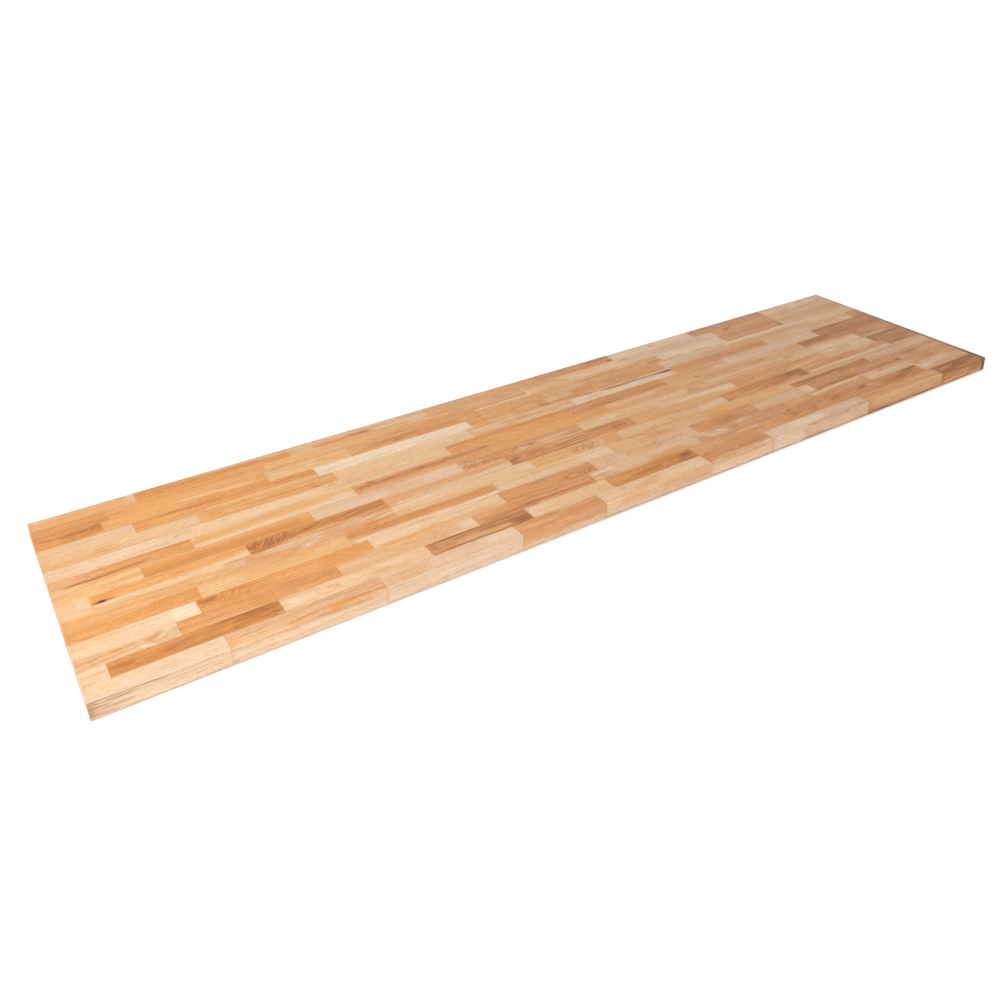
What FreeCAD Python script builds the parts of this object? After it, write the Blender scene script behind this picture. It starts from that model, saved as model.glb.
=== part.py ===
# Butcher block countertop: a slab of solid hardwood staves, glued edge to edge and end to end.
# Every row runs the length of the slab and is laid from staves of random length, with their butt
# joints staggered from row to row. The glued lay-up is then trimmed to a blank with eased edges.
# Millimetres. Origin at the middle of the underside, +X along the length, +Y to the back, +Z up.
import FreeCAD, Part
import math
import os
import Sketcher

# The slab's own sizes
slab = {
    "countertop_length": 2489.2,
    "countertop_depth": 635.0,
    "countertop_thickness": 38.1,
    "edge_round": 3.0,
    "stave_width": 42.24,
    "glue_line": 0.1,
}

# Stave lengths as laid, row by row from the back edge, each row from its left end
layUp = [
    [221, 361, 378, 290, 325, 313, 312, 310],
    [152, 356, 372, 365, 370, 340, 240, 315],
    [134, 366, 206, 369, 255, 367, 251, 247, 320],
    [190, 414, 419, 212, 431, 253, 361, 330],
    [318, 317, 368, 314, 358, 365, 390, 310],
    [290, 307, 315, 363, 325, 238, 380, 315],
    [278, 367, 360, 367, 321, 417, 400],
    [166, 360, 372, 352, 380, 367, 315, 305],
    [60, 308, 314, 326, 376, 366, 360, 209, 330],
    [312, 370, 365, 258, 363, 315, 362, 320],
    [243, 312, 367, 325, 309, 319, 315, 330],
    [229, 359, 320, 255, 319, 216, 217, 360, 300],
    [181, 316, 316, 317, 325, 320, 313, 187, 325],
    [48, 314, 316, 247, 222, 256, 327, 320, 218, 310],
    [243, 310, 315, 222, 313, 212, 355, 316, 305],
]

doc = FreeCAD.newDocument("ButcherBlockCountertop")
sizes = doc.addObject("Spreadsheet::Sheet", "Sizes")


def staveAlias(row, stave):
    return "row_%02d_stave_%d" % (row, stave)


def fillSheet():
    cells = dict(slab)
    for row, lengths in enumerate(layUp, 1):
        for stave, length in enumerate(lengths, 1):
            cells[staveAlias(row, stave)] = length
    for line, (alias, value) in enumerate(cells.items(), 1):
        sizes.set("A%d" % line, alias)
        sizes.set("B%d" % line, str(value))
        sizes.setAlias("B%d" % line, alias)
    doc.recompute()


def makeBlank():
    # The finished outline: a rectangle centred on the origin, thickened and eased on every edge
    body = doc.addObject("PartDesign::Body", "TrimmedBlank")
    plane = next(o for o in body.Origin.OriginFeatures if o.Role == "XY_Plane")
    outline = body.newObject("Sketcher::SketchObject", "BlankOutline")
    outline.AttachmentSupport = (plane, [""])
    outline.MapMode = "FlatFace"

    halfLength = sizes.countertop_length / 2
    halfDepth = sizes.countertop_depth / 2
    turns = ((-1, -1), (1, -1), (1, 1), (-1, 1))
    corners = [FreeCAD.Vector(x * halfLength, y * halfDepth, 0) for x, y in turns]
    for side in range(4):
        outline.addGeometry(Part.LineSegment(corners[side], corners[(side + 1) % 4]), False)
    for side in range(4):
        outline.addConstraint(Sketcher.Constraint("Coincident", side, 2, (side + 1) % 4, 1))
    for side, direction in enumerate(("Horizontal", "Vertical", "Horizontal", "Vertical")):
        outline.addConstraint(Sketcher.Constraint(direction, side))
    outline.addConstraint(Sketcher.Constraint("Symmetric", 0, 1, 1, 2, -1, 1))
    length = outline.addConstraint(Sketcher.Constraint("DistanceX", 0, 1, 0, 2, 2 * halfLength))
    depth = outline.addConstraint(Sketcher.Constraint("DistanceY", 1, 1, 1, 2, 2 * halfDepth))
    outline.setExpression("Constraints[%d]" % length, "Sizes.countertop_length")
    outline.setExpression("Constraints[%d]" % depth, "Sizes.countertop_depth")

    thickened = body.newObject("PartDesign::Pad", "BlankPad")
    thickened.Profile = outline
    thickened.setExpression("Length", "Sizes.countertop_thickness")
    doc.recompute()

    eased = body.newObject("PartDesign::Fillet", "EasedEdges")
    eased.Base = (thickened, ["Edge%d" % (n + 1) for n in range(len(thickened.Shape.Edges))])
    eased.setExpression("Radius", "Sizes.edge_round")
    body.Tip = eased
    doc.recompute()
    return body


def rowsAcross():
    # As many whole rows as the depth takes, and one more, ripped from full staves, if what is
    # left is wider than the rounds on its two edges
    pitch = sizes.stave_width + sizes.glue_line
    whole = math.floor(round((sizes.countertop_depth + sizes.glue_line) / pitch, 6))
    left = sizes.countertop_depth - whole * pitch
    return whole + 1 if left > 2 * sizes.edge_round else max(whole, 1)


def layRow(row, rows):
    # The staves of one row, end to end, none shorter than it is wide. The pattern of lengths
    # starts again past its last row or stave. The last stave and the front row are left over
    # size, for the blank to trim.
    pattern = (row - 1) % len(layUp) + 1
    count = len(layUp[pattern - 1])
    width = "Sizes.stave_width"
    if row == rows:
        width += " + 2 * Sizes.edge_round"
    backEdge = "Sizes.countertop_depth / 2 - %d * (Sizes.stave_width + Sizes.glue_line)" % (row - 1)

    staves = []
    reach = 0
    while sizes.countertop_length - reach > sizes.stave_width or not staves:
        alias = staveAlias(pattern, len(staves) % count + 1)
        reach += getattr(sizes, alias) + sizes.glue_line
        length = "Sizes." + alias
        if sizes.countertop_length - reach <= sizes.stave_width:
            length += " + Sizes.stave_width"
        stave = doc.addObject("Part::Box", "Row%02dStave%d" % (row, len(staves) + 1))
        stave.setExpression("Length", length)
        stave.setExpression("Width", width)
        stave.setExpression("Height", "Sizes.countertop_thickness")
        if staves:
            before = staves[-1].Name
            start = "%s.Placement.Base.x + %s.Length + Sizes.glue_line * 1mm" % (before, before)
        else:
            start = "-Sizes.countertop_length / 2 * 1mm"
        stave.setExpression("Placement.Base.x", start)
        stave.setExpression("Placement.Base.y", "(%s - (%s)) * 1mm" % (backEdge, width))
        staves.append(stave)
    return staves


def trimRow(row, staves, blank):
    laid = doc.addObject("Part::Compound", "Row%02dLaid" % row)
    laid.Links = staves
    trimmed = doc.addObject("Part::Common", "Row%02dTrimmed" % row)
    trimmed.Base = blank
    trimmed.Tool = laid
    trimmed.Label = "stave_row_%02d" % row
    return trimmed


def checkAndWrite(parts):
    doc.recompute()
    for thing in doc.Objects:
        if "Invalid" in thing.State or "Error" in thing.State:
            raise RuntimeError("%s did not recompute: %s" % (thing.Label, thing.State))
    for part in parts:
        if part.Shape.isNull() or not part.Shape.isValid() or not part.Shape.Solids:
            raise RuntimeError("%s has no valid solid" % part.Label)
    os.makedirs("parts", exist_ok=True)
    for part in parts:
        part.Shape.exportStep("parts/%s.step" % part.Label)
        print("%s: %d staves" % (part.Label, len(part.Shape.Solids)))


fillSheet()
trimmedBlank = makeBlank()
rowTotal = rowsAcross()
staveRows = [trimRow(row, layRow(row, rowTotal), trimmedBlank) for row in range(1, rowTotal + 1)]
checkAndWrite(staveRows)
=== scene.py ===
import math

import bpy
import numpy as np
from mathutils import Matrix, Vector


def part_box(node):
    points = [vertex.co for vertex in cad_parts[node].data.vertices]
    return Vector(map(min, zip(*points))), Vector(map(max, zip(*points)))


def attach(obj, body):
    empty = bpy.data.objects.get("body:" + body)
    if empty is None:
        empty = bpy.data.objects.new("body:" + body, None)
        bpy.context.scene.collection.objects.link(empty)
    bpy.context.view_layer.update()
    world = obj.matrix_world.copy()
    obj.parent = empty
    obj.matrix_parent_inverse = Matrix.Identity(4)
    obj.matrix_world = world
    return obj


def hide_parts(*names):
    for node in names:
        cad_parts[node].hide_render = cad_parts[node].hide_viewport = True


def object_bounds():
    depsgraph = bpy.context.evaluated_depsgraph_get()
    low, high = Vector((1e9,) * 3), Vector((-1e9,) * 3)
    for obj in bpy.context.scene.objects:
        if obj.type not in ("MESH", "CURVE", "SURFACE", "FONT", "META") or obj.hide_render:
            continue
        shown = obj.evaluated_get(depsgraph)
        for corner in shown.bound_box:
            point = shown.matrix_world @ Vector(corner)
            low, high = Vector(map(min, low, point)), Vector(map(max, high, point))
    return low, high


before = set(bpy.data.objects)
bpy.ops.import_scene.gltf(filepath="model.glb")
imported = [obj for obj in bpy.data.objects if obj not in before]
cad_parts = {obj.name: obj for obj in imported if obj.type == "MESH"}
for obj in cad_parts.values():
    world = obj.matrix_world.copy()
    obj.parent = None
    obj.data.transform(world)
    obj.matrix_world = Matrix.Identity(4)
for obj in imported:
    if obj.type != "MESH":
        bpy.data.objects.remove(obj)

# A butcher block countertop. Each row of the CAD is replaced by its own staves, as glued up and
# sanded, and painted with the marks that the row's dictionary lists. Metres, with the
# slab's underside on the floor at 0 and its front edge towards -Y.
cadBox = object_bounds()
mm = 0.001
slabLeft = cadBox[0].x
slabRight = cadBox[1].x
slabTop = cadBox[1].z

# Shared sizes of the lay-up, in millimetres, and how finely its surfaces are divided
layUp = {
    "edgeRound": 3.0,         # radius sanded on the slab's outer edges, as in the CAD
    "glueLine": 0.1,          # space between two staves
    "staveArris": 0.06,       # the tiny break of a stave's own edge at a glue line
    "glueStain": 0.6,         # how far a glue line's darkening reaches along a stave
    "stainShare": 0.015,      # and how far across it, as a share of its width
    "stationStep": 6.5,       # spacing of the sections carried along a stave
    "topColumns": 24,
    "underColumns": 6,
    "sideColumns": 4,
    "frontColumns": 16,       # on the slab's own front face
    "roundSteps": 4,
    "capShare": 0.08,         # what is left of an end's round at its flat cap
}

# The tones of the wood as they look, sorted by the kind of wood that has them. Each kind becomes
# a material, with its own strength of growth rings, slow bands, flecks, fibres, fine lines and
# pores, and its own sheen.
woods = {
    "sapwood": {
        "tones": {
            "ivory": (0.88, 0.78, 0.68),
            "oat": (0.81, 0.72, 0.63),
            "cream": (0.86, 0.73, 0.61),
            "blush": (0.83, 0.69, 0.58),
            "peach": (0.85, 0.70, 0.55),
        },
        "rings": 0.65, "bands": 0.38, "flecks": 1.50, "fibres": 0.75, "lines": 0.65, "pores": 0.22,
        "roughness": 0.47,
    },
    "paleHeart": {
        "tones": {
            "butter": (0.85, 0.67, 0.47),
            "sand": (0.83, 0.66, 0.50),
            "straw": (0.83, 0.63, 0.43),
            "tan": (0.82, 0.62, 0.45),
        },
        "rings": 0.73, "bands": 0.43, "flecks": 1.65, "fibres": 0.85, "lines": 0.78, "pores": 0.28,
        "roughness": 0.45,
    },
    "redHeart": {
        "tones": {
            "honey": (0.84, 0.61, 0.38),
            "amber": (0.82, 0.58, 0.35),
            "gold": (0.81, 0.56, 0.31),
            "copper": (0.79, 0.57, 0.39),
            "fawn": (0.77, 0.57, 0.42),
        },
        "rings": 0.80, "bands": 0.48, "flecks": 1.85, "fibres": 0.90, "lines": 0.90, "pores": 0.34,
        "roughness": 0.43,
    },
    "darkHeart": {
        "tones": {
            "russet": (0.77, 0.54, 0.35),
            "chestnut": (0.75, 0.51, 0.30),
            "taupe": (0.73, 0.53, 0.37),
            "walnut": (0.70, 0.48, 0.31),
            "rust": (0.66, 0.40, 0.22),
            "umber": (0.60, 0.38, 0.21),
            "bark": (0.36, 0.22, 0.13),
        },
        "rings": 0.88, "bands": 0.53, "flecks": 2.00, "fibres": 0.95, "lines": 1.00, "pores": 0.38,
        "roughness": 0.42,
    },
}
kindOf = {tone: kind for kind, wood in woods.items() for tone in wood["tones"]}


def linearFrom(tone):
    # A colour as it looks, from 0 to 1, turned into the linear value that the shader works with
    tone = np.asarray(tone, float)
    return np.where(tone <= 0.04045, tone / 12.92, ((tone + 0.055) / 1.055) ** 2.4)


def toneOf(name):
    return linearFrom(woods[kindOf[name]]["tones"][name])


# Marks on a row. along is from and to, in millimetres from the slab's left end. across is where
# the mark's middle lies at those two places, from 0 at the row's back edge to 1 at its front edge,
# and on the front row from there down the front face, to 1.9 at its bottom edge. breadth is a
# share of the row's width too. No mark runs over a joint.
def markOf(kind, along, across, strength, **settings):
    # One number for across holds at both ends of a mark
    pair = across if isinstance(across, tuple) else (across, across)
    return {"kind": kind, "along": along, "across": pair, "strength": strength, **settings}


def wash(tone, along, across, breadth=0.3, strength=0.6):
    # A broad soft change of tone
    return markOf("wash", along, across, strength, tone=tone, breadth=breadth)


def streak(tone, along, across, breadth=0.08, strength=0.7):
    # A streak of another tone, which the fibres break up
    return markOf("streak", along, across, strength, tone=tone, breadth=breadth)


def hatch(along, across, breadth=0.5, strength=0.7):
    # Figured grain: short dark lines slanting over the fibres
    return markOf("hatch", along, across, strength, breadth=breadth)


def oval(tone, along, across, breadth=0.25, strength=0.7):
    # A dark growth ring cut to an oval, which fills the two ranges. breadth is a share of its radius.
    return markOf("oval", along, across, strength, tone=tone, breadth=breadth)


def knot(along, across, strength=1.0):
    # A small dark knot, which fills the two ranges. One to a stave.
    return markOf("knot", along, across, strength)


row01 = {
    "node": "stave_row_01",
    "tones": ["straw", "gold", "sand", "tan", "copper", "cream", "fawn", "cream"],
    "marks": [
        wash("cream", (795, 870), 0.15, 0.25, 0.6),
        wash("oat", (2230, 2330), 0.15, 0.3, 0.7),
        wash("peach", (8, 45), 0.2, 0.25, 0.5),
        wash("butter", (520, 582), 0.2, 0.3, 0.8),
        wash("straw", (300, 582), (0.1, 0.12), 0.2, 0.8),
        wash("ivory", (1580, 1885), 0.5, 0.6, 0.35),
        wash("honey", (58, 76), (0.35, 0.3), 0.16, 0.7),
        wash("cream", (200, 221), 0.5, 0.6, 0.5),
        streak("chestnut", (225, 500), (0.5, 0.46), 0.16, 0.6),
        wash("blush", (425, 525), 0.9, 0.1, 0.4),
        streak("russet", (478, 508), 0.45, 0.12, 0.8),
        streak("russet", (642, 665), (0.68, 0.74), 0.13, 0.8),
        streak("chestnut", (655, 802), (0.8, 0.62), 0.11, 0.9),
        wash("amber", (670, 735), (0.82, 0.9), 0.18, 0.8),
        streak("umber", (744, 788), (0.62, 0.7), 0.09, 0.9),
        wash("blush", (830, 955), 0.6, 0.35, 0.6),
        wash("honey", (964, 992), (0.35, 0.4), 0.25, 0.8),
        wash("honey", (1014, 1032), 0.35, 0.2, 0.7),
        wash("copper", (1170, 1200), (0.35, 0.4), 0.2, 0.4),
        wash("tan", (1252, 1315), 0.4, 0.5, 0.6),
        wash("honey", (1450, 1476), 0.5, 0.25, 0.6),
        streak("rust", (1490, 1578), (0.42, 0.25), 0.22, 0.7),
        streak("umber", (1552, 1578), (0.82, 0.8), 0.1, 0.9),
        wash("butter", (1655, 1685), 0.45, 0.18, 0.5),
        wash("tan", (1722, 1748), 0.5, 0.22, 0.6),
        streak("chestnut", (1888, 1912), (0.45, 0.5), 0.22, 0.8),
        wash("amber", (1932, 1978), (0.35, 0.45), 0.28, 0.9),
        wash("gold", (2066, 2094), (0.3, 0.25), 0.2, 0.5),
        streak("walnut", (2150, 2198), (0.3, 0.42), 0.25, 0.5),
        wash("tan", (2366, 2394), 0.4, 0.18, 0.6),
        streak("chestnut", (745, 805), 0.86, 0.14, 0.6),
        wash("cream", (395, 582), 0.14, 0.24, 0.4),
        wash("sand", (1235, 1305), 0.5, 0.24, 0.5),
        wash("straw", (950, 1008), 0.86, 0.2, 0.5),
    ],
}

row02 = {
    "node": "stave_row_02",
    "tones": ["gold", "honey", "straw", "tan", "peach", "blush", "copper", "sand"],
    "marks": [
        wash("oat", (1615, 1955), 0.5, 0.6, 0.5),
        wash("russet", (0, 152), 0.5, 0.6, 0.35),
        wash("gold", (152, 508), 0.5, 0.5, 0.3),
        wash("cream", (885, 960), (0.12, 0.15), 0.2, 0.5),
        wash("sand", (1955, 2195), 0.5, 0.5, 0.3),
        wash("oat", (2195, 2489), 0.5, 0.5, 0.3),
        streak("chestnut", (0, 150), (0.82, 0.85), 0.14, 0.7),
        streak("russet", (20, 140), (0.2, 0.25), 0.14, 0.3),
        wash("honey", (158, 204), 0.45, 0.35, 0.6),
        streak("chestnut", (215, 508), (0.22, 0.32), 0.07, 0.5),
        wash("straw", (300, 508), (0.85, 0.8), 0.25, 0.8),
        wash("amber", (835, 880), (0.65, 0.7), 0.4, 0.6),
        streak("gold", (882, 1090), (0.92, 0.9), 0.22, 0.9),
        streak("chestnut", (1060, 1244), (0.86, 0.8), 0.1, 0.4),
        wash("sand", (1040, 1150), 0.2, 0.25, 0.5),
        streak("copper", (1247, 1375), (0.3, 0.25), 0.22, 0.8),
        wash("honey", (1310, 1400), (0.75, 0.6), 0.25, 0.4),
        wash("cream", (1410, 1600), (0.75, 0.7), 0.3, 0.6),
        wash("peach", (1615, 1690), 0.4, 0.35, 0.6),
        wash("sand", (1740, 1800), (0.2, 0.25), 0.2, 0.7),
        wash("tan", (1700, 1900), (0.6, 0.55), 0.16, 0.5),
        wash("ivory", (1915, 1950), (0.3, 0.4), 0.25, 0.4),
        streak("rust", (2000, 2034), (0.45, 0.02), 0.2, 0.7),
        streak("gold", (2040, 2195), (0.65, 0.75), 0.18, 0.5),
        wash("tan", (2100, 2195), (0.2, 0.15), 0.25, 0.6),
        streak("russet", (2236, 2292), (0.62, 0.2), 0.12, 0.7),
        wash("butter", (2196, 2240), 0.7, 0.25, 0.5),
        streak("fawn", (2350, 2410), (0.12, 0.18), 0.14, 0.7),
        wash("butter", (840, 880), 0.14, 0.24, 0.5),
    ],
}

row03 = {
    "node": "stave_row_03",
    "tones": ["gold", "honey", "butter", "amber", "straw", "tan", "cream", "fawn", "tan"],
    "marks": [
        wash("ivory", (1885, 1946), 0.15, 0.3, 0.7),
        wash("cream", (1700, 1945), 0.12, 0.2, 0.4),
        wash("sand", (706, 1075), 0.5, 0.6, 0.3),
        wash("copper", (1080, 1328), 0.5, 0.6, 0.4),
        wash("ivory", (1697, 1948), 0.3, 0.5, 0.5),
        wash("oat", (2196, 2489), 0.5, 0.6, 0.35),
        wash("cream", (2196, 2260), 0.85, 0.2, 0.5),
        streak("umber", (0, 62), (0.12, 0.4), 0.08, 0.6),
        streak("umber", (56, 134), (0.32, 0.28), 0.18, 0.5),
        streak("umber", (112, 134), (0.15, 0.1), 0.14, 0.6),
        hatch((60, 134), 0.4, 0.4, 0.5),
        wash("gold", (88, 112), (0.52, 0.58), 0.16, 0.8),
        streak("walnut", (10, 90), (0.9, 0.82), 0.1, 0.4),
        wash("peach", (300, 475), (0.24, 0.5), 0.13, 0.75),
        streak("gold", (330, 500), (0.8, 0.78), 0.22, 0.7),
        wash("straw", (140, 320), (0.6, 0.62), 0.2, 0.4),
        wash("peach", (502, 560), (0.35, 0.55), 0.25, 0.8),
        wash("peach", (585, 625), (0.35, 0.45), 0.3, 0.8),
        wash("straw", (630, 686), (0.25, 0.8), 0.18, 0.9),
        streak("chestnut", (750, 1010), 0.5, 0.24, 0.6),
        streak("rust", (822, 850), (0.75, 0.45), 0.14, 0.8),
        streak("chestnut", (880, 1075), (0.9, 0.86), 0.08, 0.7),
        hatch((770, 930), 0.6, 0.35, 0.4),
        wash("copper", (1040, 1075), (0.45, 0.5), 0.4, 0.7),
        wash("cream", (1077, 1260), 0.04, 0.12, 1.0),
        streak("copper", (1240, 1330), (0.55, 0.6), 0.22, 0.5),
        wash("peach", (1276, 1328), (0.8, 0.7), 0.25, 0.5),
        wash("straw", (1332, 1400), (0.1, 0.2), 0.15, 0.8),
        wash("sand", (1332, 1420), (0.75, 0.7), 0.25, 0.8),
        streak("russet", (1400, 1620), (0.36, 0.42), 0.14, 0.7),
        streak("fawn", (1480, 1600), (0.65, 0.6), 0.16, 0.4),
        wash("straw", (1570, 1640), (0.7, 0.72), 0.14, 0.7),
        streak("walnut", (1640, 1697), (0.75, 0.62), 0.12, 0.7),
        wash("butter", (1700, 1732), (0.35, 0.3), 0.3, 0.5),
        streak("taupe", (1697, 1770), (0.9, 0.88), 0.07, 0.8),
        streak("taupe", (1815, 1875), (0.92, 0.88), 0.07, 0.8),
        wash("butter", (1920, 1947), (0.45, 0.6), 0.3, 0.5),
        streak("russet", (1950, 2020), (0.25, 0.35), 0.22, 0.6),
        streak("chestnut", (2060, 2192), (0.2, 0.25), 0.18, 0.6),
        streak("umber", (2176, 2195), (0.75, 0.65), 0.2, 0.9),
        streak("russet", (2215, 2480), (0.18, 0.32), 0.12, 0.6),
        wash("amber", (2420, 2470), (0.45, 0.4), 0.25, 0.6),
        wash("peach", (2196, 2215), 0.5, 0.4, 0.5),
        wash("cream", (1545, 1605), 0.14, 0.22, 0.45),
        wash("ivory", (1700, 1765), 0.14, 0.22, 0.45),
        wash("butter", (1445, 1505), 0.86, 0.2, 0.5),
    ],
}

row04 = {
    "node": "stave_row_04",
    "tones": ["peach", "amber", "ivory", "straw", "copper", "sand", "sand", "peach"],
    "marks": [
        wash("tan", (0, 190), 0.5, 0.7, 0.25),
        wash("butter", (340, 604), 0.84, 0.2, 0.9),
        wash("oat", (1668, 1919), 0.5, 0.6, 0.4),
        wash("blush", (40, 190), (0.3, 0.4), 0.35, 0.7),
        streak("tan", (68, 100), (0.25, 0.62), 0.05, 0.6),
        streak("chestnut", (200, 600), (0.1, 0.2), 0.12, 0.5),
        wash("honey", (230, 290), (0.45, 0.5), 0.25, 0.6),
        wash("cream", (192, 330), 0.98, 0.1, 0.6),
        streak("russet", (500, 600), (0.3, 0.4), 0.18, 0.6),
        wash("cream", (606, 660), 0.6, 0.4, 0.3),
        wash("cream", (860, 960), 0.8, 0.25, 0.5),
        streak("sand", (955, 985), (0.2, 0.4), 0.06, 0.3),
        wash("gold", (1024, 1078), (0.35, 0.42), 0.3, 0.75),
        streak("copper", (1075, 1165), (0.4, 0.8), 0.08, 0.5),
        wash("butter", (1080, 1150), 0.8, 0.2, 0.6),
        oval("chestnut", (1158, 1240), (0.12, 0.88), 0.16, 0.6),
        wash("tan", (1180, 1225), (0.45, 0.5), 0.25, 0.6),
        streak("umber", (1234, 1262), (0.72, 0.82), 0.16, 0.8),
        wash("peach", (1262, 1345), (0.4, 0.3), 0.3, 0.7),
        streak("chestnut", (1280, 1360), (0.8, 0.9), 0.1, 0.5),
        streak("gold", (1355, 1430), (0.62, 0.08), 0.2, 0.9),
        wash("honey", (1395, 1425), 0.88, 0.16, 0.7),
        wash("straw", (1420, 1460), (0.4, 0.5), 0.25, 0.6),
        wash("russet", (1470, 1560), 0.4, 0.35, 0.4),
        wash("gold", (1565, 1620), (0.65, 0.75), 0.28, 0.65),
        streak("chestnut", (1440, 1640), 0.96, 0.1, 0.6),
        wash("cream", (1668, 1720), (0.25, 0.7), 0.3, 0.7),
        wash("blush", (1740, 1800), (0.45, 0.5), 0.3, 0.5),
        wash("tan", (1830, 1915), (0.7, 0.65), 0.3, 0.6),
        wash("cream", (1920, 2281), (0.2, 0.3), 0.22, 1.0),
        streak("copper", (1935, 2250), (0.68, 0.8), 0.16, 0.6),
        wash("butter", (2220, 2300), (0.6, 0.9), 0.18, 0.5),
        wash("butter", (2380, 2420), 0.1, 0.15, 0.5),
        wash("cream", (2290, 2340), 0.3, 0.4, 0.5),
    ],
}

row05 = {
    "node": "stave_row_05",
    "tones": ["sand", "honey", "peach", "tan", "cream", "copper", "sand", "taupe"],
    "marks": [
        wash("sand", (318, 635), 0.5, 0.6, 0.3),
        wash("cream", (1090, 1200), 0.15, 0.2, 0.6),
        wash("tan", (1675, 2040), 0.5, 0.6, 0.3),
        wash("walnut", (2430, 2489), 0.5, 0.6, 0.4),
        wash("peach", (150, 318), 0.45, 0.5, 0.8),
        wash("blush", (285, 318), 0.6, 0.45, 0.7),
        wash("straw", (0, 140), (0.75, 0.8), 0.25, 0.4),
        wash("gold", (335, 372), (0.42, 0.45), 0.26, 0.8),
        streak("russet", (320, 635), 0.9, 0.06, 0.6),
        streak("russet", (325, 480), (0.14, 0.16), 0.05, 0.5),
        streak("chestnut", (400, 600), (0.55, 0.4), 0.05, 0.5),
        streak("chestnut", (460, 620), (0.28, 0.15), 0.05, 0.5),
        wash("gold", (420, 580), 0.62, 0.2, 0.6),
        wash("peach", (540, 566), (0.32, 0.36), 0.12, 0.8),
        streak("umber", (570, 590), 0.92, 0.08, 0.8),
        streak("russet", (590, 634), (0.75, 0.82), 0.12, 0.6),
        wash("sand", (640, 700), 0.8, 0.25, 0.5),
        wash("cream", (850, 1000), (0.15, 0.2), 0.2, 0.5),
        wash("cream", (1010, 1100), (0.3, 0.5), 0.25, 0.8),
        wash("peach", (1130, 1317), (0.85, 0.8), 0.25, 0.8),
        wash("peach", (1180, 1317), (0.2, 0.25), 0.16, 0.8),
        streak("copper", (1150, 1280), (0.6, 0.7), 0.06, 0.4),
        wash("cream", (1318, 1480), (0.75, 0.6), 0.28, 1.0),
        wash("ivory", (1525, 1600), 0.75, 0.3, 0.5),
        streak("walnut", (1312, 1500), (0.02, 0.28), 0.09, 0.9),
        streak("umber", (1372, 1392), (0.12, 0.14), 0.1, 0.9),
        streak("umber", (1440, 1675), (0.24, 0.3), 0.13, 0.9),
        streak("bark", (1636, 1676), (0.3, 0.42), 0.16, 0.5),
        wash("honey", (1660, 1675), (0.85, 0.8), 0.25, 0.8),
        streak("chestnut", (1680, 1880), (0.4, 0.5), 0.22, 0.6),
        wash("amber", (1700, 1800), (0.8, 0.85), 0.22, 0.6),
        wash("amber", (1900, 2010), (0.3, 0.2), 0.22, 0.6),
        streak("chestnut", (1880, 2038), (0.6, 0.55), 0.16, 0.7),
        wash("peach", (2042, 2080), (0.45, 0.3), 0.3, 0.5),
        wash("straw", (2100, 2140), (0.55, 0.6), 0.25, 0.5),
        wash("cream", (2170, 2230), (0.4, 0.5), 0.25, 0.6),
        wash("straw", (2255, 2300), 0.5, 0.25, 0.5),
        wash("cream", (2375, 2425), (0.6, 0.8), 0.3, 0.6),
        wash("copper", (2415, 2489), (0.3, 0.2), 0.3, 0.8),
        streak("walnut", (1500, 1562), (0.12, 0.14), 0.12, 0.45),
    ],
}

row06 = {
    "node": "stave_row_06",
    "tones": ["cream", "peach", "peach", "amber", "russet", "tan", "blush", "walnut"],
    "marks": [
        wash("copper", (1400, 1500), 0.6, 0.4, 0.3),
        wash("sand", (0, 290), 0.5, 0.7, 0.35),
        wash("ivory", (60, 230), 0.35, 0.35, 0.4),
        wash("tan", (0, 60), 0.9, 0.15, 0.5),
        streak("fawn", (188, 240), (0.75, 0.72), 0.05, 0.5),
        streak("fawn", (255, 290), (0.38, 0.36), 0.04, 0.6),
        streak("fawn", (258, 290), (0.18, 0.16), 0.04, 0.5),
        wash("cream", (292, 560), (0.4, 0.45), 0.5, 0.4),
        wash("butter", (470, 597), (0.9, 0.85), 0.18, 0.4),
        streak("copper", (600, 622), (0.16, 0.18), 0.14, 0.7),
        wash("tan", (640, 780), (0.3, 0.35), 0.35, 0.5),
        wash("butter", (840, 912), (0.85, 0.9), 0.2, 0.5),
        streak("chestnut", (915, 1270), (0.2, 0.16), 0.13, 0.7),
        wash("gold", (915, 940), (0.55, 0.65), 0.3, 0.6),
        wash("honey", (1000, 1270), (0.75, 0.8), 0.3, 0.5),
        wash("peach", (1090, 1200), 0.9, 0.12, 0.3),
        wash("fawn", (1280, 1340), 0.35, 0.35, 0.8),
        wash("copper", (1335, 1400), (0.5, 0.3), 0.2, 0.8),
        streak("walnut", (1320, 1440), (0.8, 0.82), 0.1, 0.6),
        streak("walnut", (1370, 1500), (0.45, 0.5), 0.12, 0.4),
        streak("umber", (1414, 1448), (0.52, 0.92), 0.06, 0.25),
        wash("copper", (1430, 1462), (0.25, 0.45), 0.16, 0.9),
        streak("walnut", (1475, 1600), (0.85, 0.75), 0.12, 0.25),
        streak("gold", (1560, 1600), (0.3, 0.38), 0.2, 0.8),
        streak("fawn", (1600, 1835), (0.28, 0.38), 0.14, 0.6),
        wash("straw", (1700, 1820), (0.8, 0.7), 0.25, 0.4),
        wash("peach", (1780, 1838), (0.75, 0.7), 0.3, 0.7),
        wash("cream", (1838, 1900), (0.55, 0.5), 0.4, 0.5),
        wash("sand", (1890, 2010), 0.4, 0.3, 0.5),
        wash("sand", (2040, 2120), (0.25, 0.35), 0.25, 0.5),
        wash("peach", (2120, 2217), 0.75, 0.35, 0.8),
        streak("umber", (2222, 2345), (0.14, 0.16), 0.13, 0.8),
        wash("russet", (2320, 2440), (0.6, 0.5), 0.35, 0.7),
        wash("russet", (2440, 2489), 0.55, 0.35, 0.8),
        streak("rust", (2395, 2489), (0.25, 0.2), 0.2, 0.4),
    ],
}

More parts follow.
